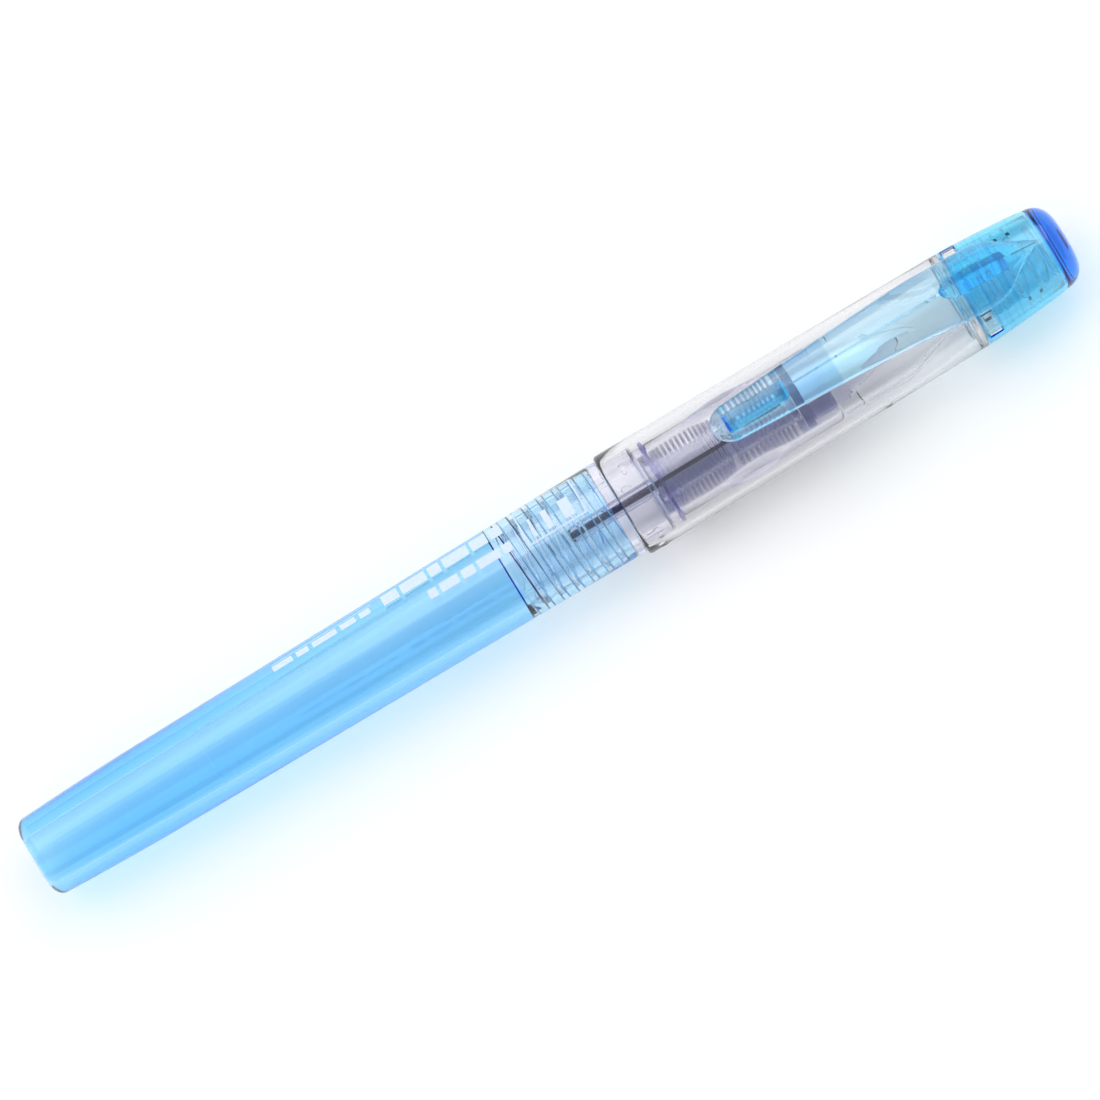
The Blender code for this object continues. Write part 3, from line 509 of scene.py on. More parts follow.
def clip_material():
    """Blue clip, with painted shade and painted highlights: the bevels, the ridge line, the grip rib
    and the root read a little deeper, between light highlight lines.
    """
    mat = clear_plastic("clip_blue_look", (0.97, 0.99, 1.0), (0.95, 0.98, 1.0),
                        (270.0, 52.0, 2.0), (0.0, 0.03))
    nt = mat.node_tree
    bsdf = nt.nodes["Principled BSDF"]
    flow = bsdf.inputs["Base Color"].links[0].from_socket
    tex = nt.nodes.new("ShaderNodeTexCoord")
    sep = nt.nodes.new("ShaderNodeSeparateXYZ")
    nt.links.new(tex.outputs["Object"], sep.inputs["Vector"])

    def blend(kind, fac, one, two):
        m = nt.nodes.new("ShaderNodeMixRGB")
        m.blend_type = kind
        for socket, value in ((m.inputs[0], fac), (m.inputs[1], one), (m.inputs[2], two)):
            if isinstance(value, float):
                socket.default_value = value
            elif isinstance(value, tuple):
                socket.default_value = (*value, 1.0)
            else:
                nt.links.new(value, socket)
        return m.outputs["Color"]

    def band(axis, stops):
        lo, hi = stops[0][0] - 1.0, stops[-1][0] + 1.0
        f = remap(nt, sep.outputs[axis], 0.0, 1.0, lo * MM, hi * MM)
        return ramp(nt, f, [((v - lo) / (hi - lo), (c,) * 3 if isinstance(c, float) else c)
                            for v, c in stops])

    # across the blade, as a share of its half width there
    width = nt.nodes.new("ShaderNodeMath")
    width.operation = "MULTIPLY_ADD"
    width.inputs[1].default_value = 0.0545
    width.inputs[2].default_value = (2.28 - 0.0545 * 25.2) * MM
    nt.links.new(sep.outputs["X"], width.inputs[0])
    share = nt.nodes.new("ShaderNodeMath")
    share.operation = "DIVIDE"
    nt.links.new(sep.outputs["Y"], share.inputs[0])
    nt.links.new(width.outputs["Value"], share.inputs[1])
    k = remap(nt, share.outputs["Value"], 0.0, 1.0, -1.0, 1.0)
    # painted shade and painted highlights across the blade: dark lines near the -Y edge and along the
    # ridge, white highlight lines at the bevel creases, and a darker bevel on the +Y side
    marks = [(-1.0, (0.86, 0.95, 1.0)), (-0.93, (0.55, 0.84, 0.98)), (-0.88, (1.0, 1.0, 1.0)),
             (-0.05, (0.98, 0.99, 1.0)), (-0.014, (0.58, 0.84, 0.98)), (0.014, (0.58, 0.84, 0.98)),
             (0.05, (0.94, 0.97, 0.99)), (0.53, (0.92, 0.96, 0.99)), (0.56, (1.0, 1.0, 1.0)),
             (0.60, (1.0, 1.0, 1.0)), (0.64, (0.70, 0.83, 0.93)), (0.92, (0.64, 0.79, 0.92)),
             (1.0, (0.45, 0.68, 0.90))]
    facets = ramp(nt, k, [((v + 1.0) / 2.0, c) for v, c in marks])
    on_blade = band("X", [(23.4, 0.0), (25.0, 1.0), (53.0, 1.0), (56.0, 0.0)])
    col = blend("MULTIPLY", on_blade, flow, facets)
    # the rib and the root, seen through their whole depth; their colour bands below are painted shade
    # and painted highlights
    rib = blend("MULTIPLY", 1.0, band("X", [(24.30, 0.0), (24.36, 1.0), (32.54, 1.0), (32.60, 0.0)]),
                band("Z", [(AXIS_Z + 7.06, 1.0), (AXIS_Z + 7.20, 0.0)]))
    root = blend("MULTIPLY", 1.0, band("X", [(55.4, 0.0), (55.9, 1.0), (61.3, 1.0), (61.6, 0.0)]),
                 band("Y", [(-1.14, 0.0), (-1.08, 1.0), (1.08, 1.0), (1.14, 0.0)]))
    root = blend("MULTIPLY", 1.0, root, band("Z", [(AXIS_Z + 6.24, 1.0), (AXIS_Z + 6.32, 0.0)]))
    # painted shade on the rib: a dark line along its middle between light highlight bands, and
    # painted shade at its two ends
    rib_painted_shade = band("Y", [(-1.15, (0.70, 0.93, 1.0)), (-0.98, (0.30, 0.84, 1.0)),
                          (-0.80, (0.10, 0.72, 0.98)), (-0.30, (0.10, 0.70, 0.97)),
                          (-0.16, (0.05, 0.45, 0.82)), (0.02, (0.04, 0.36, 0.76)),
                          (0.12, (0.30, 0.66, 0.90)), (0.74, (0.36, 0.70, 0.92)),
                          (0.90, (0.62, 0.88, 0.99)), (1.02, (0.90, 0.98, 1.0)),
                          (1.15, (0.80, 0.95, 1.0))])
    rib_end_painted_shade = band("X", [(24.3, (0.22, 0.84, 1.0)), (25.15, (0.22, 0.80, 1.0)),
                          (25.35, (1.0, 1.0, 1.0)), (31.5, (1.0, 1.0, 1.0)),
                          (31.75, (0.22, 0.80, 1.0)), (32.6, (0.22, 0.84, 1.0))])
    col = blend("MIX", rib, col, blend("MULTIPLY", 1.0, rib_painted_shade, rib_end_painted_shade))
    # painted shade across the root with light edges, and painted dark lines across it at set stations
    root_painted_shade = band("Y", [(-1.10, (0.75, 0.95, 1.0)), (-0.95, (0.70, 0.94, 1.0)),
                           (-0.85, (0.06, 0.70, 0.97)), (0.30, (0.05, 0.66, 0.96)),
                           (0.42, (0.55, 0.88, 0.99)), (1.10, (0.70, 0.94, 1.0))])
    deep = band("X", [(55.9, (0.85, 0.96, 1.0)), (56.3, (0.10, 0.55, 0.92)),
                      (56.7, (1.0, 1.0, 1.0)), (57.9, (0.75, 0.94, 1.0)), (58.1, (0.2, 0.6, 0.9)),
                      (58.3, (1.0, 1.0, 1.0)), (60.3, (1.0, 1.0, 1.0)), (60.6, (0.25, 0.42, 0.70)),
                      (61.2, (0.30, 0.48, 0.75)), (61.4, (1.0, 1.0, 1.0))])
    col = blend("MIX", root, col, blend("MULTIPLY", 1.0, root_painted_shade, deep))
    # painted shade on the blade where the nib holder lies under it, and a painted blue cast towards
    # the root, over the blue crown
    blade_painted_cast = band("X", [(32.2, (1.0, 1.0, 1.0)), (32.9, (0.74, 0.84, 0.93)), (38.5, (0.72, 0.83, 0.92)),
                      (38.75, (1.0, 1.0, 1.0)), (53.6, (1.0, 1.0, 1.0)), (54.4, (0.66, 0.90, 1.0)),
                      (55.6, (0.62, 0.90, 1.0)), (56.2, (0.52, 0.92, 1.0)), (62.0, (0.52, 0.92, 1.0)),
                      (64.0, (0.78, 0.96, 1.0)), (66.5, (0.85, 0.97, 1.0))])
    col = blend("MULTIPLY", 1.0, col, blade_painted_cast)
    nt.links.new(col, bsdf.inputs["Base Color"])
    return mat


def crown_material():
    """Blue crown, with painted shade lines round it: a dark band at its seam and darker lines where
    the moulded ribs inside would show.
    """
    mat = clear_plastic("crown_blue_look", (0.93, 0.935, 1.0), (0.88, 0.905, 1.0),
                        (1250.0, 130.0, 6.0), (0.0, 0.02))
    nt = mat.node_tree
    bsdf = nt.nodes["Principled BSDF"]
    flow = bsdf.inputs["Base Color"].links[0].from_socket
    tex = nt.nodes.new("ShaderNodeTexCoord")
    sep = nt.nodes.new("ShaderNodeSeparateXYZ")
    nt.links.new(tex.outputs["Object"], sep.inputs["Vector"])
    x0, x1 = CROWN_START - 1.0, 67.0
    f = remap(nt, sep.outputs["X"], 0.0, 1.0, x0 * MM, x1 * MM)
    # painted shade: a dark band at the seam, then dark lines round the crown at the rib stations
    stops = [(x0, (1.0, 1.0, 1.0)), (CROWN_START + 0.02, (0.30, 0.66, 0.90)),
             (CROWN_START + 0.30, (0.34, 0.70, 0.92)), (CROWN_START + 0.42, (1.0, 1.0, 1.0))]
    for x, half, deep in ((57.55, 0.10, (0.48, 0.76, 0.92)), (58.35, 0.07, (0.60, 0.84, 0.96)),
                          (58.85, 0.10, (0.50, 0.78, 0.93)), (59.7, 0.07, (0.62, 0.84, 0.96)),
                          (60.4, 0.09, (0.55, 0.80, 0.94)), (63.9, 0.07, (0.66, 0.86, 0.96)),
                          (65.6, 0.08, (0.60, 0.84, 0.96))):
        stops += [(x - half - 0.05, (1.0, 1.0, 1.0)), (x - half, deep), (x + half, deep),
                  (x + half + 0.05, (1.0, 1.0, 1.0))]
    rows = ramp(nt, f, [((x - x0) / (x1 - x0), c) for x, c in stops[:16]])
    rest = ramp(nt, f, [((x - x0) / (x1 - x0), c) for x, c in [stops[15]] + stops[16:]])
    # breaks the painted shade lines up at random
    patchy = ramp(nt, noise(nt, object_coords(nt, (1.0, 1.0, 1.0)), 330.0, 2.0),
                  [(0.42, (0.15,) * 3), (0.58, (1.0,) * 3)])

    def times(fac, one, two):
        m = nt.nodes.new("ShaderNodeMixRGB")
        m.blend_type = "MULTIPLY"
        for socket, value in ((m.inputs[0], fac), (m.inputs[1], one), (m.inputs[2], two)):
            if isinstance(value, float):
                socket.default_value = value
            else:
                nt.links.new(value, socket)
        return m.outputs["Color"]

    lines = times(1.0, rows, rest)
    nt.links.new(times(patchy, flow, lines), bsdf.inputs["Base Color"])
    return mat


def feed_material():
    """Translucent comb, stained by ink on the side away from the nib."""
    mat, nt, bsdf, out = nodes_of("feed_violet_look")
    tex = nt.nodes.new("ShaderNodeTexCoord")
    down = nt.nodes.new("ShaderNodeVectorMath")
    down.operation = "DOT_PRODUCT"
    down.inputs[1].default_value = (0.0, -math.cos(VIEW_TILT), -math.sin(VIEW_TILT))
    nt.links.new(tex.outputs["Object"], down.inputs[0])
    off = -AXIS_Z * MM * math.sin(VIEW_TILT)
    vec = object_coords(nt, (1.0, 1.0, 1.0))
    cloud = noise(nt, vec, 420.0, 3.0)
    add = nt.nodes.new("ShaderNodeMath")
    add.operation = "MULTIPLY_ADD"
    add.inputs[1].default_value = 0.0009
    nt.links.new(cloud, add.inputs[0])
    nt.links.new(down.outputs["Value"], add.inputs[2])
    place = remap(nt, add.outputs["Value"], 0.0, 1.0, off - 0.0035, off + 0.0040)
    col = ramp(nt, place, [(0.0, (0.95, 0.95, 0.98)), (0.44, (0.92, 0.92, 0.96)),
                           (0.53, (0.78, 0.80, 0.88)), (0.78, (0.74, 0.76, 0.86)),
                           (0.85, (0.94, 0.94, 0.97))])
    nt.links.new(col, bsdf.inputs["Base Color"])
    nt.links.new(remap(nt, noise(nt, vec, 1500.0, 2.0), 0.02, 0.08), bsdf.inputs["Roughness"])
    bsdf.inputs["Transmission Weight"].default_value = 1.0
    bsdf.inputs["IOR"].default_value = 1.38
    nt.links.new(bump(nt, cloud, 0.04, 0.0003), bsdf.inputs["Normal"])
    vol = nt.nodes.new("ShaderNodeVolumeAbsorption")
    vol.inputs["Density"].default_value = 95.0
    vol.inputs["Color"].default_value = (0.0, 0.02, 0.42, 1.0)
    nt.links.new(vol.outputs["Volume"], out.inputs["Volume"])
    return mat


def opaque_material(name, col_a, col_b, rough, metallic=0.0, transmission=0.0, scale=700.0,
                    stretch=(1.0, 1.0, 1.0), bump_s=0.08, coat=0.0, spec=0.5):
    mat, nt, bsdf, out = nodes_of(name)
    vec = object_coords(nt, stretch)
    n1 = noise(nt, vec, scale, 4.0, 0.6)
    nt.links.new(ramp(nt, n1, [(0.3, col_a), (0.7, col_b)]), bsdf.inputs["Base Color"])
    nt.links.new(remap(nt, n1, rough[0], rough[1], 0.3, 0.7), bsdf.inputs["Roughness"])
    bsdf.inputs["Metallic"].default_value = metallic
    bsdf.inputs["Transmission Weight"].default_value = transmission
    bsdf.inputs["Coat Weight"].default_value = coat
    bsdf.inputs["Specular IOR Level"].default_value = spec
    nt.links.new(bump(nt, n1, bump_s, 0.0001), bsdf.inputs["Normal"])
    return mat


def floor_material():
    """Plain pale matt table, the same to every ray."""
    mat, nt, bsdf, out = nodes_of("floor_pale")
    vec = object_coords(nt)
    n = noise(nt, vec, 14.0, 3.0)
    nt.links.new(ramp(nt, n, [(0.3, (0.86, 0.86, 0.86)), (0.7, (0.89, 0.89, 0.89))]),
                 bsdf.inputs["Base Color"])
    bsdf.inputs["Roughness"].default_value = 0.7
    bsdf.inputs["Specular IOR Level"].default_value = 0.1
    bsdf.inputs["Emission Color"].default_value = (1.0, 1.0, 1.0, 1.0)
    bsdf.inputs["Emission Strength"].default_value = FLOOR_FILL
    mat.cycles.emission_sampling = "NONE"
    return mat


def make_barrel():
    bm = bmesh.new()
    ax, rad = BARREL_CORNER
    x_c = BARREL_END + ax
    r_c = barrel_outer(x_c) - rad
    outer = [(BARREL_END + 0.15, 0.0), (BARREL_END + 0.145, 0.25), (BARREL_END + 0.12, 0.50),
             (BARREL_END + 0.06, 0.66), (BARREL_END, 0.78), (BARREL_END, r_c)]
    for k in range(1, 13):
        a = 0.5 * math.pi * k / 13
        outer.append((x_c - ax * math.cos(a), r_c + rad * math.sin(a)))
    outer.append((x_c, barrel_outer(x_c)))
    for k in range(1, 12):
        x = x_c + (BARREL_TAPER_X - x_c) * k / 12
        outer.append((x, barrel_outer(x)))
    for x in (BARREL_TAPER_X, -40.0, -25.0, -10.0, 0.0, BARREL_FRONT - 0.16):
        outer.append((x, barrel_outer(x)))
    rim_r = barrel_outer(BARREL_FRONT)
    outer += [(BARREL_FRONT - 0.05, rim_r - 0.04), (BARREL_FRONT, rim_r - 0.13)]
    strip(bm, outer, SEG)
    half = (GROOVE_W[0] / 2, GROOVE_W[1] / 2)
    fn = thread_radius(SOCKET_R, GROOVE_DEPTH, half, SOCKET_X + 0.35, None)
    helical_band(bm, SOCKET_X + 0.08, BARREL_FRONT, SEG, fn, half)
    rim = ring_of(bm, *outer[-1], SEG)
    lip = []
    for i in range(SEG):
        a = 2.0 * math.pi * i / SEG
        r = fn(BARREL_FRONT, a)
        lip.append(bm.verts.new((BARREL_FRONT * MM, r * math.cos(a) * MM, r * math.sin(a) * MM)))
    join_rings(bm, rim, lip)
    x0 = BARREL_FLOOR + 0.30
    inner = [(SOCKET_X + 0.08, SOCKET_R), (SOCKET_X, SOCKET_R - 0.08),
             (SOCKET_X, BORE_R_FRONT + 0.10), (SOCKET_X - 0.10, BORE_R_FRONT)]
    for k in range(1, 16):
        f = k / 16
        inner.append((SOCKET_X - 0.1 + (x0 - SOCKET_X + 0.1) * f,
                      BORE_R_FRONT + (BORE_R_REAR - BORE_R_FRONT) * f))
    for k in range(0, 11):
        a = 0.5 * math.pi * k / 10
        inner.append((x0 - 0.30 * math.sin(a), BORE_R_REAR - 0.36 * (1 - math.cos(a))))
    inner.append((BARREL_FLOOR, 0.0))
    down = Vector((0.0, -math.cos(VIEW_TILT), -math.sin(VIEW_TILT)))
    rings = [ring_of(bm, x, r, SEG) for x, r in inner]
    for (x, r), ring in zip(inner, rings):
        lean = CORE_SHIFT * smooth01((SOCKET_X - 1.0 - x) / 40.0)
        for v in ring:
            v.co += down * lean * MM
    for a, b in zip(rings, rings[1:]):
        join_rings(bm, a, b)
    return to_object("barrel_shell", bm)


def make_section():
    bm = bmesh.new()
    half = (RIDGE_W[0] / 2, RIDGE_W[1] / 2)
    t0, t1 = SECTION_TAIL + 0.12, 5.65
    fn = thread_radius(TAIL_R, RIDGE_HEIGHT, half, t0, t1)
    helical_band(bm, t0, t1, SEG, fn, half)
    outer = [(t1, TAIL_R), (FLANGE[0], TAIL_R), (FLANGE[0], FLANGE_R), (FLANGE[1], FLANGE_R),
             (FLANGE[1], PLUG_R), (PLUG_END, PLUG_R - 0.04), (PLUG_END, GRIP_R),
             (RING_X[0], GRIP_R), (RING_X[0], GRIP_R - 0.20), (RING_X[1], GRIP_R - 0.20),
             (RING_X[1], GRIP_R)]
    sw = [SWELL_X - SWELL_HALF + 2 * SWELL_HALF * k / 40 for k in range(41)]
    outer += [(x, grip_outer(x)) for x in sw]
    for k in range(0, 7):
        a = 0.5 * math.pi * k / 6
        outer.append((GRIP_END - 0.40 + 0.40 * math.sin(a), GRIP_R - 0.35 * (1 - math.cos(a))))
    inner = [(GRIP_END, GRIP_BORE + 0.14), (GRIP_END - 0.15, GRIP_BORE)]
    inner += [(x, grip_bore(x)) for x in reversed(sw)]
    inner += [(13.30, GRIP_BORE), (13.26, TAIL_BORE), (SECTION_TAIL + 0.25, TAIL_BORE),
              (SECTION_TAIL, TAIL_BORE + 0.25), (SECTION_TAIL, TAIL_R - 0.12), (t0, TAIL_R)]
    strip(bm, rounded(outer + inner, 0.10), SEG)
    obj = to_object("section_body", bm)

    bumps = bmesh.new()
    for k in range(3):
        a = math.radians(61.6 + 120.0 * k)
        size = 0.75
        res = bmesh.ops.create_uvsphere(bumps, u_segments=32, v_segments=20, radius=size * MM)
        rot = Matrix.Rotation(a - 0.5 * math.pi, 4, "X")
        for v in res["verts"]:
            v.co = Vector((v.co.x * 0.72, v.co.y * 1.05, v.co.z))
            v.co = rot @ (v.co + Vector((SNAP_X * MM, 0.0, (SNAP_TOP - size) * MM)))
    cut_with(obj, to_object("bumps", bumps), "UNION")
    return obj


def make_feed():
    prof = [(SPIKE_TIP, SPIKE_BORE), (SPIKE_TIP, SPIKE_R - 0.28), (SPIKE_TIP + 0.9, SPIKE_R),
            (FEED_BLOCK[0], SPIKE_R)]

    def tip(x):
        return grip_bore(x) - FEED_GAP

    prof += [(FEED_BLOCK[0], tip(FEED_BLOCK[0])), (FEED_BLOCK[1], tip(FEED_BLOCK[1])),
             (FEED_BLOCK[1], FEED_CORE_R)]
    for x_first, pitch, count in FIN_ROWS:
        for i in range(count):
            x = x_first + pitch * i
            a, b = x - FIN_T / 2, x + FIN_T / 2
            prof += [(a, FEED_CORE_R), (a, tip(a)), (b, tip(b)), (b, FEED_CORE_R)]
    prof += [(FEED_END[0], FEED_CORE_R), (FEED_END[0], tip(FEED_END[0])),
             (FEED_END[1], tip(FEED_END[1])), (FEED_END[1], FEED_CORE_BORE),
             (FEED_START + 0.35, FEED_CORE_BORE), (FEED_START + 0.15, SPIKE_BORE)]
    prof = rounded(prof, 0.045, 2, True)
    bm = bmesh.new()
    strip(bm, prof + [prof[0]], 64)
    return to_object("feed_comb", bm)


def make_ink():
    """Ink in the spike, and the sheet of ink along the feed slot, seen edge on."""
    bm = bmesh.new()
    n = 40
    stations = [(SPIKE_TIP + 0.15, 0.30), (SPIKE_TIP + 0.25, 0.40), (FEED_START + 0.62, 0.40)]
    rings = [ring_of(bm, x, r, n) for x, r in stations]
    for a, b in zip(rings, rings[1:]):
        join_rings(bm, a, b)
    bm.faces.new(rings[0])
    bm.faces.new(list(reversed(rings[-1])))
    spin_x(bm, SLOT_ROLL)
    rod = to_object("ink_wick", bm, merge=1e-7)
    sheet = bmesh.new()
    block(sheet, (FEED_START + 0.60, -0.14, -1.50), (INK_SHEET_END, 0.33, 1.50))
    spin_x(sheet, SLOT_ROLL)
    cut_with(rod, to_object("sheet", sheet), "UNION")
    return rod


def make_stain():
    """The ink-stained half of the channel below the sheet."""
    bm = bmesh.new()
    n = 40
    x0, x1 = FEED_START + 0.72, FEED_END[1] - 0.15
    rings = []
    for x, r in ((x0, 1.50), (x0 + 0.12, 1.62), (x1 - 0.1, 1.62), (x1, 1.52)):
        ring = []
        for i in range(n):
            a = 2.0 * math.pi * i / n
            ring.append(bm.verts.new((x * MM, min(r * math.cos(a), -0.19) * MM,
                                      r * math.sin(a) * MM)))
        rings.append(ring)
    for a, b in zip(rings, rings[1:]):
        join_rings(bm, a, b)
    bm.faces.new(rings[0])
    bm.faces.new(list(reversed(rings[-1])))
    spin_x(bm, SLOT_ROLL)
    return to_object("ink_stain", bm, merge=1e-7)


def nib_drop(x):
    return 2.82 * max(0.0, (x - 39.5) / (NIB_X[1] - 39.5)) ** 1.7


def nib_half_width(x):
    if x < 40.0:
        return 3.05
    u = (x - 40.0) / (NIB_X[1] - 40.0)
    return 3.05 * (1.0 - u) ** 1.15 + 0.28 * u


def make_nib():
    bm = bmesh.new()
    nx, na = 56, 28
    top, under = [], []
    for j in range(nx + 1):
        x = NIB_X[0] + (NIB_X[1] - NIB_X[0]) * ((j / nx) ** 0.85)
        w, drop = nib_half_width(x), nib_drop(x)
        phi = math.asin(min(0.95, w / NIB_ARC_R))
        row_t, row_u = [], []
        for i in range(na + 1):
            a = -phi + 2 * phi * i / na
            for row, rr in ((row_t, NIB_ARC_R), (row_u, NIB_ARC_R - NIB_T)):
                row.append(bm.verts.new((x * MM, rr * math.sin(a) * MM,
                                         (rr * math.cos(a) - drop) * MM)))
        top.append(row_t)
        under.append(row_u)
    for j in range(nx):
        for i in range(na):
            bm.faces.new([top[j][i], top[j][i + 1], top[j + 1][i + 1], top[j + 1][i]])
            bm.faces.new([under[j][i], under[j + 1][i], under[j + 1][i + 1], under[j][i + 1]])
        for i in (0, na):
            bm.faces.new([top[j][i], top[j + 1][i], under[j + 1][i], under[j][i]])
    for j in (0, nx):
        for i in range(na):
            bm.faces.new([top[j][i], under[j][i], under[j][i + 1], top[j][i + 1]])
    spin_x(bm, NIB_ROLL)
    nib = to_object("nib_plate", bm)
    cut = bmesh.new()
    res = bmesh.ops.create_cone(cut, cap_ends=True, cap_tris=False, segments=32,
                                radius1=0.42 * MM, radius2=0.42 * MM, depth=4.0 * MM)
    bmesh.ops.translate(cut, verts=res["verts"], vec=(43.2 * MM, 0.0, 3.2 * MM))
    spin_x(cut, NIB_ROLL)
    cut_with(nib, to_object("hole", cut), "DIFFERENCE")
    slit = bmesh.new()
    block(slit, (43.3, -0.04, -1.0), (NIB_X[1] + 1.0, 0.04, 5.0))
    spin_x(slit, NIB_ROLL)
    cut_with(nib, to_object("slit", slit), "DIFFERENCE")
    return nib


def make_holder():
    x0, x1, _ = HOLDER
    bm = bmesh.new()
    prof = [(x0, 0.0), (x0, HOLDER_FLANGE_R), (x1, HOLDER_FLANGE_R), (x1, HOLDER_R),
            (HOLDER_SPLIT, HOLDER_R), (HOLDER_SPLIT, 0.0)]
    strip(bm, rounded(prof, 0.08), 96)
    return to_object("nib_holder_body", bm)


def make_nose():
    """Clear front of the nib holder, and the feed nose under the nib."""
    x2 = HOLDER[2]
    bm = bmesh.new()
    prof = [(HOLDER_SPLIT + 0.03, 0.0), (HOLDER_SPLIT + 0.03, HOLDER_R),
            (x2 - 0.3, HOLDER_R), (x2, HOLDER_R - 0.25), (x2, 0.0)]
    strip(bm, rounded(prof, 0.08), 96)
    holder = to_object("feed_nose", bm)
    nose = bmesh.new()
    n, rows = 36, 24
    rings = []
    for k in range(rows + 1):
        u = k / rows
        x = x2 - 0.6 + (46.4 - x2 + 0.6) * u
        r = 2.35 * (1.0 - u) ** 0.75 + 0.55
        if u > 0.93:
            r *= math.sqrt(max(0.12, 1.0 - ((u - 0.93) / 0.07) ** 2))
        lift = 0.15 + 0.45 * u
        ceiling = (NIB_ARC_R - NIB_T - 0.35 - nib_drop(x)) * 0.92
        ring = []
        for i in range(n):
            a = 2.0 * math.pi * i / n
            y, z = r * math.cos(a), r * math.sin(a) + lift
            ring.append(nose.verts.new((x * MM, y * MM, min(z, ceiling) * MM)))
        rings.append(ring)
    for a, b in zip(rings, rings[1:]):
        join_rings(nose, a, b)
    nose.faces.new(rings[0])
    nose.faces.new(list(reversed(rings[-1])))
    spin_x(nose, NIB_ROLL)
    cut_with(holder, to_object("nose", nose, merge=1e-7), "UNION")
    return holder


def make_cartridge():
    a, b = CART_X
    prof = [(a, 0.0), (a, CART_R - 0.7)]
    prof += [(a + 0.7 - 0.7 * math.cos(t), CART_R - 0.7 + 0.7 * math.sin(t))
             for t in [0.5 * math.pi * k / 8 for k in range(1, 9)]]
    prof += [(b - 0.4, CART_R), (b, CART_R - 0.4), (b, CART_NECK), (b - 1.2, CART_NECK),
             (b - 1.2, CART_BORE - 0.3), (b - 1.6, CART_BORE), (a + 1.1, CART_BORE),
             (a + 0.6, CART_BORE - 0.5), (a + 0.6, 0.0)]
    bm = bmesh.new()
    strip(bm, rounded(prof, 0.15), 80)
    return to_object("cartridge_tube", bm)


def make_ring_seal():
    lo, hi = RING_X[0] + 0.06, RING_X[1] - 0.06
    r0, r1 = GRIP_R - 0.12, 5.25
    prof = rounded([(lo, r0), (lo, r1), (hi, r1), (hi, r0)], 0.16, 5, True)
    bm = bmesh.new()
    strip(bm, prof + [prof[0]], 96)
    return to_object("seal_ring", bm)


def make_cap_tube():
    prof = [(CAP_LIP, 5.88), (CAP_LIP, 6.10)]
    prof += [(CAP_LIP + 0.5 * (1 - math.cos(t)), 6.10 + (CAP_R_LIP - 6.10) * math.sin(t))
             for t in [0.5 * math.pi * k / 8 for k in range(1, 9)]]
    for x in (16.0, 22.0, 30.0, 38.0, 46.0, CAP_SHELL_END):
        prof.append((x, cap_outer(x)))
    prof += [(CAP_SHELL_END, spigot_outer(CAP_SHELL_END)), (57.7, spigot_outer(57.7)),
             (SPIGOT_END, spigot_outer(SPIGOT_END)), (SPIGOT_END, cap_bore(SPIGOT_END)),
             (57.7, cap_bore(57.7)), (STOP_RIB[1] + 0.12, cap_bore(STOP_RIB[1] + 0.12)),
             (STOP_RIB[1], STOP_RIB[2]), (STOP_RIB[0], STOP_RIB[2]),
             (STOP_RIB[0] - 0.3, cap_bore(STOP_RIB[0] - 0.3)), (50.5, cap_bore(50.5)),
             (46.4, cap_bore(46.4)), (30.0, cap_bore(30.0)), (13.6, cap_bore(13.6)),
             (9.9, cap_bore(9.9))]
    prof = rounded(prof, 0.10, 3, True)
    bm = bmesh.new()
    strip(bm, prof + [prof[0]], SEG)
    tube = to_object("cap_shell", bm)

    lugs = bmesh.new()
    for k in (-1, 1, 3):
        sector(lugs, LUG_X[0], LUG_X[1], 5.05, 5.84, math.radians(90.0 + 60.0 * k), LUG_HALF, 12)
    cut_with(tube, to_object("lugs", lugs), "UNION")
    slots = bmesh.new()
    turn = Matrix.Rotation(SLOT_ROLL, 4, "X")
    for a, b in ((SLOT_X[0], SLOT_X[1]), (SLOT_X[2], SLOT_X[3])):
        block(slots, (a, -7.0, -2.1), (b, 7.0, 2.1), turn)
    cut_with(tube, to_object("slots", slots), "DIFFERENCE")

    # two small gate marks on the outside of the wall
    marks = bmesh.new()
    for x in (11.53, 41.72):
        res = bmesh.ops.create_uvsphere(marks, u_segments=32, v_segments=20, radius=0.62 * MM)
        a = view_angle(84.0)
        r = cap_outer(x) + 0.36
        for v in res["verts"]:
            v.co += Vector((x * MM, r * math.cos(a) * MM, r * math.sin(a) * MM))
    cut_with(tube, to_object("marks", marks), "DIFFERENCE")
    return tube


def make_crown():
    prof = []
    for k in range(0, 12):
        x = CROWN_START + (66.1 - CROWN_START) * k / 12
        prof.append((x, crown_outer(x)))
    for k in range(0, 22):
        u = math.sin(0.5 * math.pi * k / 22)
        x = 66.1 + (CROWN_TIP - 66.1) * u
        r = crown_outer(x)
        if r > CROWN_END_FLAT + 0.1:
            prof.append((x, r))
    prof += [(CROWN_TIP, CROWN_END_FLAT), (CROWN_TIP, 0.0)]
    inner = [(CROWN_FLOOR, 0.0), (CROWN_FLOOR, 3.9)]
    for k in range(1, 7):
        a = 0.5 * math.pi * k / 6
        inner.append((66.2 + (CROWN_FLOOR - 66.2) * math.cos(a), 3.9 + 0.9 * math.sin(a)))
    inner += [(57.7, 5.38), (CROWN_START, 5.50)]
    bm = bmesh.new()
    strip(bm, prof, SEG)
    strip(bm, inner, SEG)
    join_rings(bm, ring_of(bm, CROWN_START, 5.50, SEG),
               ring_of(bm, CROWN_START, crown_outer(CROWN_START), SEG))
    crown = to_object("crown_shell", bm)
    windows = bmesh.new()
    for k in (-1, 1, 3):
        sector(windows, WINDOW_X[0], WINDOW_X[1], 5.0, 6.6, math.radians(90.0 + 60.0 * k),
               WINDOW_HALF, 12)
    cut_with(crown, to_object("windows", windows), "DIFFERENCE")
    return crown


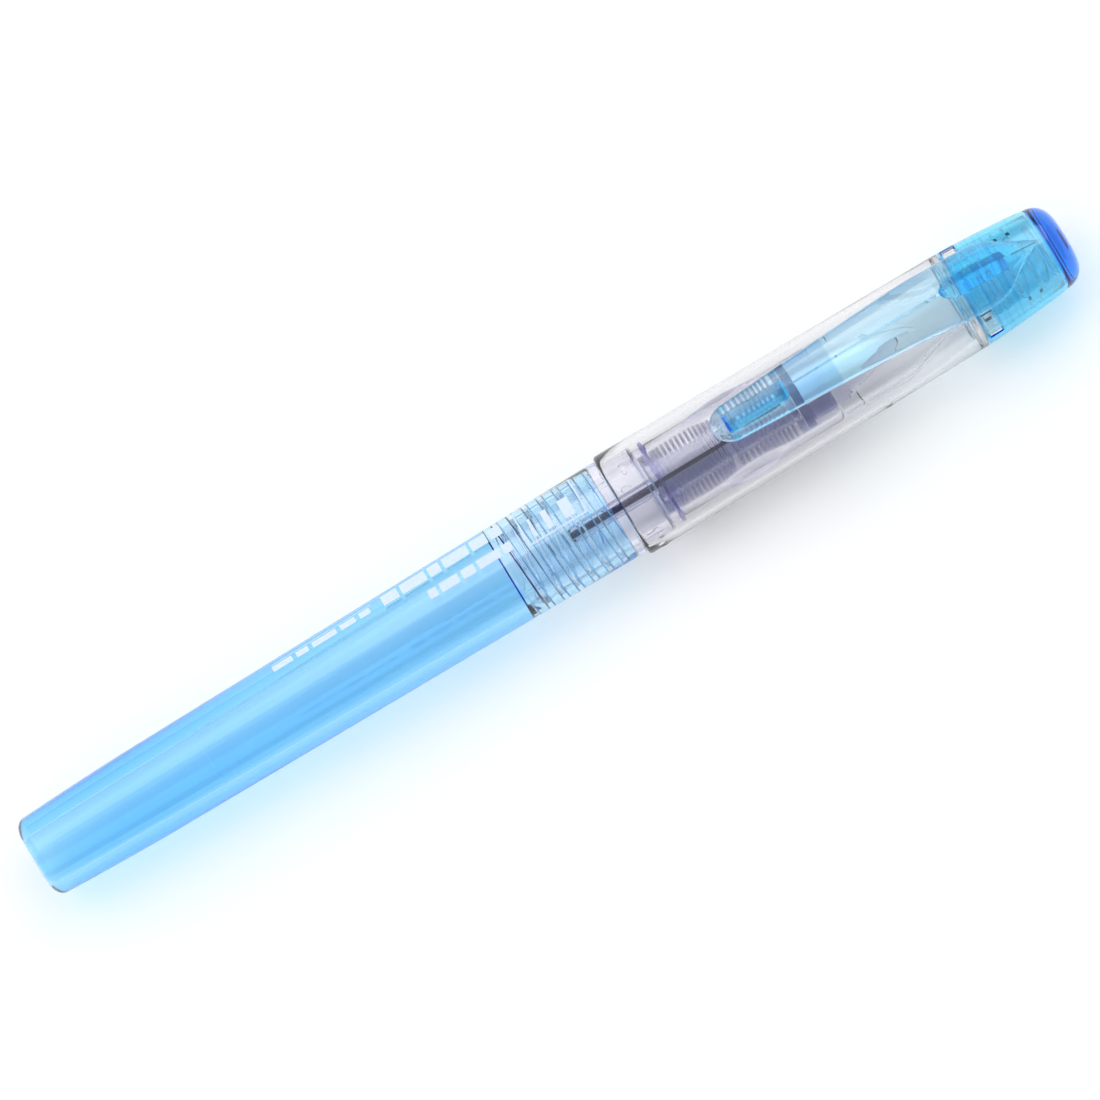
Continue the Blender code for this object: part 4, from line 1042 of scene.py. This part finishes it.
def make_inner_cap():
    x0 = INNER_CAP_X
    f0, f1, fr = INNER_FLANGE
    prof = [(57.8, 0.0), (57.8, 1.3), (57.5, 1.60), (56.2, 1.70), (55.3, 2.28), (51.4, 2.36),
            (45.8, 3.90), (x0 + 0.25, 3.90), (x0, 4.02), (x0, 4.38), (x0 + 0.2, 4.50), (39.55, 4.50),
            (39.75, 4.80), (45.6, 4.80), (46.4, 4.62), (51.9, 3.02), (f0 - 0.05, 2.96),
            (f0, fr - 0.1), (f0 + 0.1, fr), (f1 - 0.1, fr), (f1, fr - 0.1), (f1, 2.35),
            (58.3, 2.20), (58.5, 2.0), (58.5, 0.0)]
    bm = bmesh.new()
    strip(bm, rounded(prof, 0.12), 96)
    return to_object("inner_cap_cup", bm)


def make_spring():
    bm = bmesh.new()
    sides, per_turn = 16, 56
    close, open_turns = 1.5, 3.25
    total = close + open_turns
    steps = int(total * per_turn)
    x0, x1 = SPRING_X
    lead_close = 1.05
    lead_open = (x1 - x0 - lead_close * close) / open_turns
    rings = []
    for s in range(steps + 1):
        t = total * s / steps
        x = x0 + lead_close * min(t, close) + lead_open * max(0.0, t - close)
        a = 2.0 * math.pi * t
        radial = Vector((0.0, math.cos(a), math.sin(a)))
        centre = Vector((x, SPRING_R * math.cos(a), SPRING_R * math.sin(a)))
        end = min(s, steps - s)
        wire = SPRING_WIRE * (0.75 if end == 0 else 0.93 if end == 1 else 1.0)
        ring = []
        for i in range(sides):
            b = 2.0 * math.pi * i / sides
            p = centre + wire * (math.cos(b) * radial + math.sin(b) * Vector((1, 0, 0)))
            ring.append(bm.verts.new(p * MM))
        rings.append(ring)
    for a, b in zip(rings, rings[1:]):
        join_rings(bm, a, b)
    bm.faces.new(rings[0])
    bm.faces.new(list(reversed(rings[-1])))
    return to_object("spring_coil", bm, merge=1e-7)


def make_clip():
    xs = []
    for k in range(0, 15):
        xs.append(CLIP_TIP + 2.6 * (1 - math.cos(0.5 * math.pi * k / 14)))
    x = 25.8
    while x < 52.0:
        xs.append(x)
        x += 1.0
    while x < CLIP_APEX - 0.2:
        xs.append(x)
        x += 0.28
    xs.append(CLIP_APEX)
    inner = (0.0, 0.15, 0.30, 0.45, CLIP_BEVEL, 0.68, 0.79, 0.90, 1.0)
    bm = bmesh.new()
    rings = []
    for x in xs:
        w, top, drop, th = clip_half_width(x), clip_top(x), clip_drop(x), clip_thick(x)
        edge = min(0.30, 0.45 * th, 0.8 * w)
        side = [(f * (w - edge), 0.0) for f in inner]
        side += [(w - edge + edge * math.sin(a), edge * (1.0 - math.cos(a)))
                 for a in [0.5 * math.pi * i / 8 for i in range(1, 9)]]
        row = [(-y, r) for y, r in reversed(side[1:])] + side
        ring_top, ring_bot = [], []
        for y, round_top in row:
            k = abs(y) / w
            fall = drop * read_line(((0.0, 0.0), (CLIP_BEVEL, 0.40), (1.0, 1.0)), k)
            z_top = top - fall - round_top
            z_bot = top - fall - th * (1.0 - 0.15 * k ** 3) + 0.35 * round_top
            if x > 53.0:
                host = crown_outer(x) if x > CROWN_START else cap_outer(x)
                floor = math.sqrt(max(0.0, host * host - y * y)) + 0.07
                z_bot = max(z_bot, floor)
                z_top = max(z_top, z_bot + 0.10)
            ring_top.append(bm.verts.new((x * MM, y * MM, z_top * MM)))
            ring_bot.append(bm.verts.new((x * MM, y * MM, z_bot * MM)))
        rings.append(ring_top + list(reversed(ring_bot)))
    for a, b in zip(rings, rings[1:]):
        join_rings(bm, a, b)
    bm.faces.new(rings[0])
    bm.faces.new(list(reversed(rings[-1])))
    clip = to_object("clip_blade", bm, sharp=13.0, merge=1e-7)

    ribs = bmesh.new()
    side_outline(ribs, grip_outline(), 1.12, 0.30)
    cut_with(clip, to_object("rib", ribs, merge=1e-7), "UNION", 13.0)
    cut_with(clip, make_web(), "UNION", 13.0)
    return clip


def make_web():
    """The root under the blade: a pointed nose that runs back along the crown."""
    low = ((53.0, 7.62), (53.1, 7.48), (53.4, 7.25), (54.0, 6.95), (54.8, 6.62), (55.6, 6.30),
           (56.2, crown_outer(56.2) + 0.10))
    bm = bmesh.new()
    n = 20
    xs = [53.0, 53.03, 53.08, 53.16, 53.28, 53.45, 53.68, 53.95, 54.3, 54.7, 55.2]
    xs += [55.2 + 5.6 * k / 12 for k in range(1, 13)] + [61.1, 61.35, 61.5, 61.57, 61.6]
    rings = []
    for x in xs:
        half = 1.10
        if x < 55.2:
            half = 1.10 * math.sqrt(max(0.004, 1.0 - ((55.2 - x) / 2.2) ** 2))
        elif x > 60.8:
            half = 1.10 * math.sqrt(max(0.06, 1.0 - ((x - 60.8) / 0.8) ** 2))
        bottom = read_line(low, x) if x < 56.2 else crown_outer(x) + 0.10
        if CROWN_START - 0.3 < x < 56.2:
            bottom = max(bottom, crown_outer(max(CROWN_START, x)) + 0.08)
        top = read_line(((53.0, 7.75), (53.4, 7.95), (55.0, 8.15), (58.0, 7.72), (61.6, 6.80)), x)
        top = max(top, bottom + 0.12)
        soft = min(0.22, 0.45 * half, 0.45 * (top - bottom))
        ring = []
        for sy, sz in ((1, 1), (-1, 1), (-1, -1), (1, -1)):
            cy = sy * (half - soft)
            cz = (top - soft) if sz > 0 else (bottom + soft)
            start = {(1, 1): 0.0, (-1, 1): 90.0, (-1, -1): 180.0, (1, -1): 270.0}[(sy, sz)]
            for i in range(n // 4):
                a = math.radians(start + 90.0 * i / (n // 4 - 1))
                ring.append(bm.verts.new((x * MM, (cy + soft * math.cos(a)) * MM,
                                          (cz + soft * math.sin(a)) * MM)))
        rings.append(ring)
    for a, b in zip(rings, rings[1:]):
        join_rings(bm, a, b)
    bm.faces.new(rings[0])
    bm.faces.new(list(reversed(rings[-1])))
    return to_object("web", bm, merge=1e-7)


def grip_outline():
    pts = [(24.4, 7.75), (24.42, 7.3), (24.5, 6.98), (24.75, 6.76), (25.4, 6.60)]
    for k in range(0, 13):
        x = 26.0 + 5.0 * k / 12
        pts.append((x, 6.42 + 0.0155 * (x - 28.4) ** 2))
    pts += [(31.6, 6.66), (32.15, 6.90), (32.42, 7.25), (32.5, 7.95)]
    return pts


def side_outline(bm, outline, half, soft):
    """Side view outline given a width, with its long edges softened."""
    cx = sum(p[0] for p in outline) / len(outline)
    cz = sum(p[1] for p in outline) / len(outline)
    rows = []
    turn = [0.5 * math.pi * i / 6 for i in range(7)]
    steps = [(-half + soft * (1.0 - math.cos(a)), soft * (1.0 - math.sin(a))) for a in turn]
    steps += [(half - soft * (1.0 - math.cos(a)), soft * (1.0 - math.sin(a)))
              for a in reversed(turn)]
    for y, pull in steps:
        row = []
        for x, z in outline:
            d = Vector((x - cx, z - cz))
            k = max(0.0, 1.0 - pull / max(0.3, d.length)) if d.length > 0 else 1.0
            row.append(bm.verts.new(((cx + d.x * k) * MM, y * MM, (cz + d.y * k) * MM)))
        rows.append(row)
    n = len(outline)
    for a, b in zip(rows, rows[1:]):
        for i in range(n):
            k = (i + 1) % n
            bm.faces.new([a[i], a[k], b[k], b[i]])
    bm.faces.new(rows[0])
    bm.faces.new(list(reversed(rows[-1])))


def print_patch(bm, x0, x1, a0, a1, lift=0.008, thick=0.012):
    """One plain printed bar: a thin skin of ink that follows the barrel."""
    na = max(2, int(abs(a1 - a0) / math.radians(2.5)))
    grid = []
    for x in (x0, x1):
        for r_add in (lift, lift + thick):
            row = []
            for i in range(na + 1):
                a = a0 + (a1 - a0) * i / na
                r = barrel_outer(x) + r_add
                row.append(bm.verts.new((x * MM, r * math.cos(a) * MM, r * math.sin(a) * MM)))
            grid.append(row)
    lo0, hi0, lo1, hi1 = grid
    for i in range(na):
        bm.faces.new([hi0[i], hi0[i + 1], hi1[i + 1], hi1[i]])
        bm.faces.new([lo0[i], lo1[i], lo1[i + 1], lo0[i + 1]])
        bm.faces.new([lo0[i], lo0[i + 1], hi0[i + 1], hi0[i]])
        bm.faces.new([lo1[i], hi1[i], hi1[i + 1], lo1[i + 1]])
    for i in (0, na):
        bm.faces.new([lo0[i], hi0[i], hi1[i], lo1[i]])


def make_print():
    """Generic marks in place of lettering: plain bars and a line-width panel."""
    bm = bmesh.new()

    def bar(x0, x1, p0, p1):
        print_patch(bm, x0, x1, view_angle(p0), view_angle(p1))

    # two close rows of short bars
    x = -34.3
    for w in (2.6, 1.6, 3.2, 2.0, 1.4):
        bar(x, x + w, -62.0, -50.5)
        x += w + 0.55
    bar(-34.3, -21.0, -66.5, -64.8)
    # the broad bars
    x = -19.6
    for w in (2.1, 3.3, 1.5, 3.3, 2.1, 1.5):
        bar(x, x + w, -70.0, -48.0)
        x += w + 0.42
    # the small row
    x = -14.6
    for w in (1.1, 2.4, 1.7, 2.9, 1.2):
        bar(x, x + w, -33.5, -21.5)
        x += w + 0.45
    # outlined panel with three bars of growing width
    x0, x1, p0, p1 = -1.85, 5.9, -75.0, -14.5
    t, ta = 0.20, 1.9
    bar(x0, x1, p1 - ta, p1)
    bar(x0, x1, p0, p0 + ta)
    bar(x0, x0 + t, p0 + ta + 0.1, p1 - ta - 0.1)
    bar(x1 - t, x1, p0 + ta + 0.1, p1 - ta - 0.1)
    for x, w in ((-0.7, 0.35), (1.05, 0.75), (3.3, 1.35)):
        bar(x, x + w, -46.0, -20.0)
    return to_object("barrel_print", bm, merge=1e-8)


# ---------------------------------------------------------------- build it all
clear_a, clear_b = (0.985, 0.985, 0.99), (0.97, 0.97, 0.985)

mats = {
    "barrel_blue": clear_plastic("barrel_blue_look", (0.97, 0.99, 1.0), (0.95, 0.98, 1.0),
                                 (265.0, 78.0, 6.0), (0.0, 0.0)),
    "section_clear": clear_plastic("section_clear_look", (0.97, 0.97, 0.99),
                                   (0.95, 0.95, 0.98), (14.0, 16.0, 4.0), (0.0, 0.04),
                                   ior=1.34),
    "cap_clear": clear_plastic("cap_clear_look", clear_a, clear_b, (66.0, 66.0, 62.0),
                               (0.0, 0.03)),
    "inner_cap_clear": clear_plastic("inner_cap_look", clear_a, clear_b, (8.0, 8.0, 6.0),
                                     (0.02, 0.06), ior=1.13),
    "cartridge_clear": clear_plastic("cartridge_look", (0.995, 0.995, 1.0),
                                     (0.985, 0.99, 1.0), (0.0, 0.0, 0.0), (0.0, 0.02),
                                     ior=1.012, wave=0.0, shadow=0.99),
    "crown_blue": crown_material(),
    "clip_blue": clip_material(),
    "spring_clear": clear_plastic("spring_look", (0.95, 0.96, 0.98), (0.90, 0.93, 0.97),
                                  (60.0, 50.0, 30.0), (0.05, 0.16)),
    "ring_violet": clear_plastic("ring_violet_look", (0.75, 0.74, 0.90), (0.66, 0.66, 0.86),
                                 (380.0, 420.0, 110.0), (0.12, 0.25), ior=1.48),
    "feed_violet": feed_material(),
    "ink_navy": opaque_material("ink_navy_look", (0.003, 0.006, 0.085), (0.007, 0.012, 0.14),
                                (0.45, 0.6), spec=0.08),
    "holder_navy": clear_plastic("holder_navy_look", (0.80, 0.82, 0.92), (0.72, 0.74, 0.88),
                                 (150.0, 142.0, 84.0), (0.02, 0.10), ior=1.30),
    "nose": clear_plastic("feed_nose_look", (0.95, 0.95, 0.98), (0.91, 0.92, 0.96),
                          (40.0, 36.0, 18.0), (0.02, 0.10), ior=1.16),
    "stain": clear_plastic("ink_stain_look", (0.88, 0.89, 0.95), (0.82, 0.84, 0.92),
                           (60.0, 54.0, 24.0), (0.02, 0.08), ior=1.15),
    "nib_steel": opaque_material("nib_steel_look", (0.86, 0.87, 0.89), (0.93, 0.94, 0.95),
                                 (0.36, 0.46), metallic=0.7, scale=700.0,
                                 stretch=(0.2, 2.0, 2.0), bump_s=0.02),
    "print_white": opaque_material("print_white_look", (0.60, 0.72, 0.84), (0.68, 0.79, 0.90),
                                   (0.45, 0.65), scale=2500.0),
}

PIECES = (
    (make_barrel, "barrel", "barrel", "barrel_blue"),
    (make_cartridge, "cartridge", "cartridge", "cartridge_clear"),
    (make_section, "grip_section", "section", "section_clear"),
    (make_ring_seal, "sealing_ring", "section", "ring_violet"),
    (make_feed, "feed_collector", "section", "feed_violet"),
    (make_ink, "ink_channel", "section", "ink_navy"),
    (make_stain, None, "section", "stain"),
    (make_nose, None, "section", "nose"),
    (make_holder, "nib_holder", "section", "holder_navy"),
    (make_nib, "nib", "section", "nib_steel"),
    (make_inner_cap, "inner_cap", "inner_cap", "inner_cap_clear"),
    (make_spring, "seal_spring", "seal_spring", "spring_clear"),
    (make_cap_tube, "cap_tube", "cap", "cap_clear"),
    (make_crown, "cap_crown", "cap", "crown_blue"),
    (make_clip, "clip", "clip", "clip_blue"),
)
for build, node, body, slot in PIECES:
    piece = build()
    piece.data.materials.clear()
    piece.data.materials.append(mats[slot])
    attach(piece, body)
    if node:
        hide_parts(node)

marks = make_print()
marks.data.materials.append(mats["print_white"])
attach(marks, "barrel")


# ------------------------------------------------------------- floor and light
def make_floor():
    bm = bmesh.new()
    bmesh.ops.create_grid(bm, x_segments=24, y_segments=24, size=6.0)
    mesh = bpy.data.meshes.new("floor")
    bm.to_mesh(mesh)
    bm.free()
    floor = bpy.data.objects.new("floor", mesh)
    bpy.context.scene.collection.objects.link(floor)
    floor.location.z = -0.00002
    mesh.materials.append(floor_material())


def area_light(name, centre, target, size_x, size_y, radiance):
    data = bpy.data.lights.new(name, "AREA")
    data.shape = "RECTANGLE"
    data.size = size_x
    data.size_y = size_y
    data.energy = radiance * math.pi * size_x * size_y
    lamp = bpy.data.objects.new(name, data)
    bpy.context.scene.collection.objects.link(lamp)
    back = (Vector(centre) - Vector(target)).normalized()
    right = Vector((1, 0, 0))
    up = back.cross(right).normalized()
    m = Matrix((right, up, back)).transposed().to_4x4()
    m.translation = Vector(centre)
    lamp.matrix_world = m


def make_world():
    """Dim studio round one large softbox, so clear plastic gets its dark edges."""
    world = bpy.data.worlds.new("studio")
    bpy.context.scene.world = world
    world.use_nodes = True
    nt = world.node_tree
    bg = nt.nodes["Background"]
    tex = nt.nodes.new("ShaderNodeTexCoord")
    sep = nt.nodes.new("ShaderNodeSeparateXYZ")
    nt.links.new(tex.outputs["Generated"], sep.inputs["Vector"])
    height = ramp(nt, sep.outputs["Z"], [(0.0, (0.14, 0.17, 0.22)), (0.30, (0.16, 0.17, 0.19)),
                                         (0.60, (0.32,) * 3), (0.93, (0.52,) * 3),
                                         (1.0, (0.62,) * 3)])
    span = nt.nodes.new("ShaderNodeMath")
    span.operation = "ABSOLUTE"
    nt.links.new(sep.outputs["X"], span.inputs[0])
    ends = remap(nt, span.outputs["Value"], 0.0, 1.0, 0.12, 0.42)
    mix = nt.nodes.new("ShaderNodeMixRGB")
    mix.inputs[2].default_value = (0.85, 0.86, 0.88, 1.0)
    nt.links.new(ends, mix.inputs["Fac"])
    nt.links.new(height, mix.inputs[1])
    nt.links.new(mix.outputs["Color"], bg.inputs["Color"])
    bg.inputs["Strength"].default_value = 1.0


make_floor()
make_world()
area_light("softbox", (0.0, 0.62, 1.0), (0.0, 0.0, 0.0), 2.0, 1.1, SOFTBOX)

scene = bpy.context.scene
scene.view_settings.view_transform = "Standard"
scene.view_settings.look = "None"
scene.view_settings.exposure = 0.0
scene.cycles.max_bounces = 40
scene.cycles.transmission_bounces = 40
scene.cycles.glossy_bounces = 16
scene.cycles.diffuse_bounces = 3
scene.cycles.transparent_max_bounces = 64
scene.cycles.volume_bounces = 0
scene.cycles.sample_clamp_indirect = 6.0
scene.cycles.blur_glossy = 0.3
